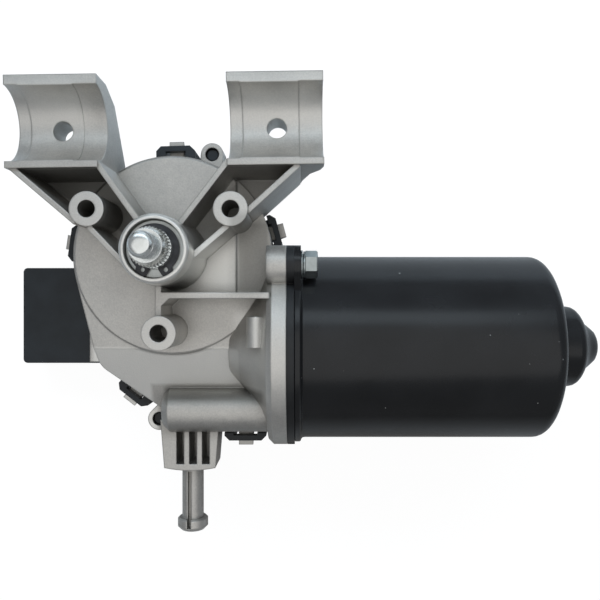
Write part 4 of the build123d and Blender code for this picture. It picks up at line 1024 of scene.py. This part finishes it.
@dataclass
class RingWithLugs:
    """The pressed retaining ring: a narrow bow that widens into two broad drilled lugs."""

    foot: float = 5.12
    top: float = 6.2
    groove: float = 5.62
    bow: float = 7.9
    lug: Point2 = (3.6, -6.5)
    lug_radius: float = 2.15
    hole: float = 0.75
    hole_steps: int = 24
    gap: float = 1.35
    steps: int = 96

    def build(self, material: bpy.types.Material) -> bpy.types.Object:
        """Makes the ring.

        Args:
            material: its finish.

        Returns:
            The piece.
        """
        form = bmesh.new()
        edges = []
        for loop in (self._outline(), self._hole(-1), self._hole(1)):
            corners = [form.verts.new((x, y, self.foot)) for x, y in loop]
            edges += [form.edges.new(pair) for pair in zip(corners, corners[1:] + corners[:1])]
        bmesh.ops.triangle_fill(form, edges=edges, use_beauty=True)
        grown = bmesh.ops.extrude_face_region(form, geom=form.faces[:])
        top = [g for g in grown["geom"] if isinstance(g, bmesh.types.BMVert)]
        bmesh.ops.translate(form, vec=(0, 0, self.top - self.foot), verts=top)
        return Meshes.piece("retaining_ring_pressed", form, material)

    def _hole(self, side: int) -> list[Point2]:
        """Draws a lug's hole.

        Args:
            side: -1 for the left lug and 1 for the right one.

        Returns:
            Its points.
        """
        x, y = side * self.lug[0], self.lug[1]
        turns = [math.tau * n / self.hole_steps for n in range(self.hole_steps)]
        return [(x + self.hole * math.cos(t), y + self.hole * math.sin(t)) for t in turns]

    def _outline(self) -> list[Point2]:
        """Draws the ring's outer and inner edge as one closed line, open at the gap.

        Returns:
            Its points.
        """
        start = math.asin(self.gap / self.groove)
        span = math.tau - 2 * start
        turns = [-math.pi / 2 + start + span * n / self.steps for n in range(self.steps + 1)]
        inner = [(self.groove * math.cos(t), self.groove * math.sin(t)) for t in turns]
        outer = [(self._reach(t) * math.cos(t), self._reach(t) * math.sin(t)) for t in reversed(turns[1:-1])]
        return [*inner, (-self.gap, self.lug[1]), *outer, (self.gap, self.lug[1])]

    def _reach(self, turn: float) -> float:
        """Finds how far the ring reaches: to the bow, or to the far side of a lug.

        Args:
            turn: the direction, in radians.

        Returns:
            The outer radius.
        """
        reach = self.bow
        away = math.hypot(*self.lug)
        for side in (-1, 1):
            off = turn - math.atan2(self.lug[1], side * self.lug[0])
            off = math.atan2(math.sin(off), math.cos(off))
            inside = self.lug_radius**2 - (away * math.sin(off)) ** 2
            if abs(off) < math.pi / 2 and inside > 0:
                reach = max(reach, away * math.cos(off) + math.sqrt(inside))
        return reach


@dataclass
class ScrewSet:
    """The two hexagon screws of the can, each with a domed chamfer, a flat and a spring washer.

    The washers' points are (height over the ear, radius).
    """

    seat: float = 45.6
    flat_washer: tuple[Point2, ...] = ((0.0, 4.6), (0.12, 4.75), (0.5, 4.75), (0.62, 4.6), (0.62, 3.6))
    spring_washer: tuple[Point2, ...] = ((0.8, 3.6), (0.8, 4.2), (0.92, 4.4), (1.35, 4.4), (1.5, 4.2))
    flats: float = 8.0
    head: float = 4.1
    head_chamfer: float = 0.6
    shank: float = 2.5
    tip: float = 35.4
    tip_radius: float = 2.0
    tip_chamfer: float = 0.6

    def build(self, material: bpy.types.Material) -> tuple[bpy.types.Object, bpy.types.Object]:
        """Makes the screws and their washers.

        Args:
            material: their plating.

        Returns:
            The screws and the washers.
        """
        screws, washers = bmesh.new(), bmesh.new()
        foot = self.seat + self.spring_washer[-1][0]
        shank = [(self.tip, 0.0), (self.tip, self.tip_radius), (self.tip + self.tip_chamfer, self.shank),
                 (foot, self.shank), (foot, 0.0)]
        rims = [(self.seat + rise, radius) for rise, radius in (*self.flat_washer, *self.spring_washer)]
        ring = [(self.seat, self.shank), *rims, (foot, self.shank)]
        for turn in (math.radians(SCREW_ANGLE), math.radians(SCREW_ANGLE + 180)):
            out = Vector((0, math.cos(turn), math.sin(turn)))
            spot = Vector((0, MOTOR_Y, MOTOR_Z)) + out * SCREW_CIRCLE
            self._head(screws, spot, foot)
            Meshes.lathe(screws, shank, spot, ALONG, UPRIGHT, steps=32, closed=False)
            Meshes.lathe(washers, ring, spot, ALONG, UPRIGHT, steps=48)
        turned = Meshes.piece("can_screws_turned", screws, material)
        return turned, Meshes.piece("spring_washers", washers, material)

    def _head(self, form: bmesh.types.BMesh, spot: Vector, foot: float) -> None:
        """Adds one hexagon head with chamfered corners.

        Args:
            form: the screws' mesh.
            spot: the screw's centre in the plane of station 0.
            foot: the station of the head's seat.
        """
        corner = self.flats / math.sqrt(3)
        made = bmesh.ops.create_cone(
            form, cap_ends=True, segments=6, radius1=corner, radius2=corner, depth=self.head,
            matrix=Matrix.Rotation(math.radians(90), 4, "Y"),
        )["verts"]
        top = max(v.co.x for v in made)
        edges = {e for v in made for e in v.link_edges if all(top - w.co.x < MERGE for w in e.verts)}
        bmesh.ops.translate(form, vec=spot + Vector((foot + self.head / 2, 0, 0)), verts=made)
        bmesh.ops.bevel(form, geom=list(edges), offset=self.head_chamfer, offset_type="OFFSET", segments=3,
                        profile=0.5, affect="EDGES", material=-1)


@dataclass
class BellFlare:
    """The smooth flare of the casting between the gear chamber and the motor flange.

    The profile's points are (station along the motor, radius).
    """

    profile: tuple[Point2, ...] = ((20.2, 10.8), (26.5, 16.85), (31.3, 23.0), (34.2, 29.3), (36.5, 30.65))
    thickness: float = 1.4
    joint: float = -48.0
    steps: int = 8

    def outline(self) -> list[Point2]:
        """Draws a smooth line through the profile's points.

        Returns:
            The line's points.
        """
        ends = (self.profile[0], *self.profile, self.profile[-1])
        line = [self.profile[0]]
        for spot in zip(ends, ends[1:], ends[2:], ends[3:]):
            line += [self._between(spot, n / self.steps) for n in range(1, self.steps + 1)]
        return line

    @staticmethod
    def _between(spots: Sequence[Point2], t: float) -> Point2:
        """A point of the smooth line.

        Args:
            spots: four points in a row.
            t: how far it lies from the second to the third, 0 to 1.

        Returns:
            The point.
        """
        return tuple(
            0.5 * (2 * b + (c - a) * t + (2 * a - 5 * b + 4 * c - d) * t**2 + (3 * b - a - 3 * c + d) * t**3)
            for a, b, c, d in zip(*spots)
        )

    def build(self, material: bpy.types.Material) -> bpy.types.Object:
        """Makes the flare.

        Args:
            material: the cast finish.

        Returns:
            The piece.
        """
        form = bmesh.new()
        outer = self.outline()
        inner = [(s, r - self.thickness) for s, r in reversed(outer)]
        Meshes.lathe(form, outer + inner, (0, MOTOR_Y, MOTOR_Z), ALONG, UPRIGHT, steps=128)
        geometry = form.verts[:] + form.edges[:] + form.faces[:]
        cut = bmesh.ops.bisect_plane(form, geom=geometry, plane_co=(0, 0, self.joint), plane_no=(0, 0, -1),
                                     clear_outer=True)
        rim = [g for g in cut["geom_cut"] if isinstance(g, bmesh.types.BMEdge)]
        bmesh.ops.holes_fill(form, edges=rim, sides=0)
        return Meshes.piece("bell_flare", form, material, crease=40.0)


@dataclass(frozen=True)
class SoftBox:
    """One rectangular lamp, with its sizes in millimetres and its power in watts."""

    name: str
    place: Point3
    width: float
    height: float
    power: float
    tint: Colour
    target: Point3 = (30.0, -20.0, -30.0)
    mirrored: bool = True

    def hang(self) -> None:
        """Puts the lamp up, turned to its target."""
        data = bpy.data.lights.new(self.name, "AREA")
        data.shape = "RECTANGLE"
        data.size, data.size_y = self.width * MM, self.height * MM
        data.energy = self.power
        data.color = self.tint
        made = bpy.data.objects.new(self.name, data)
        where, target = Vector(self.place) * MM, Vector(self.target) * MM
        made.location = where
        made.rotation_euler = (target - where).to_track_quat("-Z", "Y").to_euler()
        made.visible_glossy = self.mirrored
        bpy.context.scene.collection.objects.link(made)


@dataclass
class Studio:
    """A white floor, soft lamps and the camera."""

    camera_place: Point3 = (45.3, -15.9, 212.0)
    lens: float = 39.84
    sensor: float = 36.0
    nearest: float = 10.0
    floor_gap: float = 0.2
    floor_size: float = 6000.0
    floor_glow: float = 1.04
    glow_share: float = 0.92
    floor_tone: Colour = (0.9, 0.9, 0.9)
    mirrored_tone: Colour = (0.45, 0.45, 0.45)
    white: Colour = (1.0, 1.0, 1.0)
    ambient: float = 0.24
    ambient_tint: Colour = (0.93, 0.96, 1.0)
    lamps: tuple[SoftBox, ...] = (
        SoftBox("strip", (40, 300, 380), 620, 150, 0.5, (0.80, 0.92, 1.0)),
        SoftBox("top", (70, -120, 520), 900, 640, 1.2, (1.0, 0.985, 0.955)),
        SoftBox("wash", (40, 330, 260), 900, 260, 4.0, (0.72, 0.87, 1.0), (40, 300, -67), mirrored=False),
    )

    def build(self) -> None:
        """Sets the whole studio up."""
        self._camera()
        self._floor()
        self._world()
        for lamp in self.lamps:
            lamp.hang()
        bpy.context.scene.view_settings.view_transform = "Standard"

    def _camera(self) -> None:
        """Places the camera straight above, with +Y up."""
        data = bpy.data.cameras.new("camera")
        data.lens = self.lens
        data.sensor_width = self.sensor
        data.clip_start = self.nearest * MM
        made = bpy.data.objects.new("camera", data)
        made.location = [c * MM for c in self.camera_place]
        bpy.context.scene.collection.objects.link(made)
        bpy.context.scene.camera = made

    def _floor(self) -> None:
        """Lays the floor just under the part: white to the camera, dimmer in what mirrors it."""
        shader = Shader("studio_floor")
        path = shader.node("ShaderNodeLightPath")
        camera, glossy, through = (
            Signal(shader, path.outputs[f"Is {kind} Ray"]) for kind in ("Camera", "Glossy", "Transmission")
        )
        tone = shader.blend(glossy, self.floor_tone, self.mirrored_tone)
        matt = shader.node("ShaderNodeBsdfDiffuse", inputs={"Color": tone})
        lit = {"Color": (*self.white, 1.0), "Strength": self.floor_glow}
        glow = shader.node("ShaderNodeEmission", inputs=lit)
        share = camera.greater(through) * self.glow_share
        mixed = shader.node("ShaderNodeMixShader", inputs={0: share, 1: matt.outputs[0], 2: glow.outputs[0]})
        shader.node("ShaderNodeOutputMaterial", inputs={"Surface": mixed.outputs[0]})
        form = bmesh.new()
        level = CAD_BOX[0][2] / MM - self.floor_gap
        bmesh.ops.create_grid(form, x_segments=1, y_segments=1, size=self.floor_size / 2,
                              matrix=Matrix.Translation((0, 0, level)))
        floor = Meshes.piece("studio_floor", form, shader.material)

    def _world(self) -> None:
        """Lights the part evenly, and shows white to the camera."""
        world = bpy.data.worlds.new("studio")
        world.use_nodes = True
        bpy.context.scene.world = world
        tree = world.node_tree
        tree.nodes.clear()
        path = tree.nodes.new("ShaderNodeLightPath")
        mix = tree.nodes.new("ShaderNodeMixShader")
        out = tree.nodes.new("ShaderNodeOutputWorld")
        tree.links.new(path.outputs["Is Camera Ray"], mix.inputs[0])
        tree.links.new(mix.outputs[0], out.inputs[0])
        for place, tint, strength in ((1, self.ambient_tint, self.ambient), (2, self.white, 1.0)):
            light = tree.nodes.new("ShaderNodeBackground")
            light.inputs["Color"].default_value = (*tint, 1.0)
            light.inputs["Strength"].default_value = strength
            tree.links.new(light.outputs[0], mix.inputs[place])


def main() -> None:
    """Builds the studio and every piece in order."""
    logging.basicConfig(level=logging.INFO, format="%(name)s: %(message)s")
    Studio().build()
    wardrobe = Wardrobe()
    wardrobe.stock()
    wardrobe.dress_nodes()
    finishes = wardrobe.materials
    wardrobe.fit(MotorCan().build(finishes["can_paint"]), Body.HOUSING, Slot.CAN, "motor_can")
    wardrobe.fit(ShaftEnd().build(finishes["plated_steel"]), Body.OUTPUT, Slot.PLATED, "output_shaft")
    wardrobe.fit(RingWithLugs().build(finishes["black_steel"]), Body.OUTPUT, Slot.RING, "retaining_ring")
    screws, washers = ScrewSet().build(finishes["zinc_screw"])
    wardrobe.fit(screws, Body.HOUSING, Slot.PLATED, "can_screws")
    wardrobe.fit(washers, Body.HOUSING, Slot.PLATED, "can_screw_washers")
    wardrobe.fit(BellFlare().build(finishes["cast_aluminium"]), Body.HOUSING, Slot.CAST)


if __name__ == "__main__":
    main()
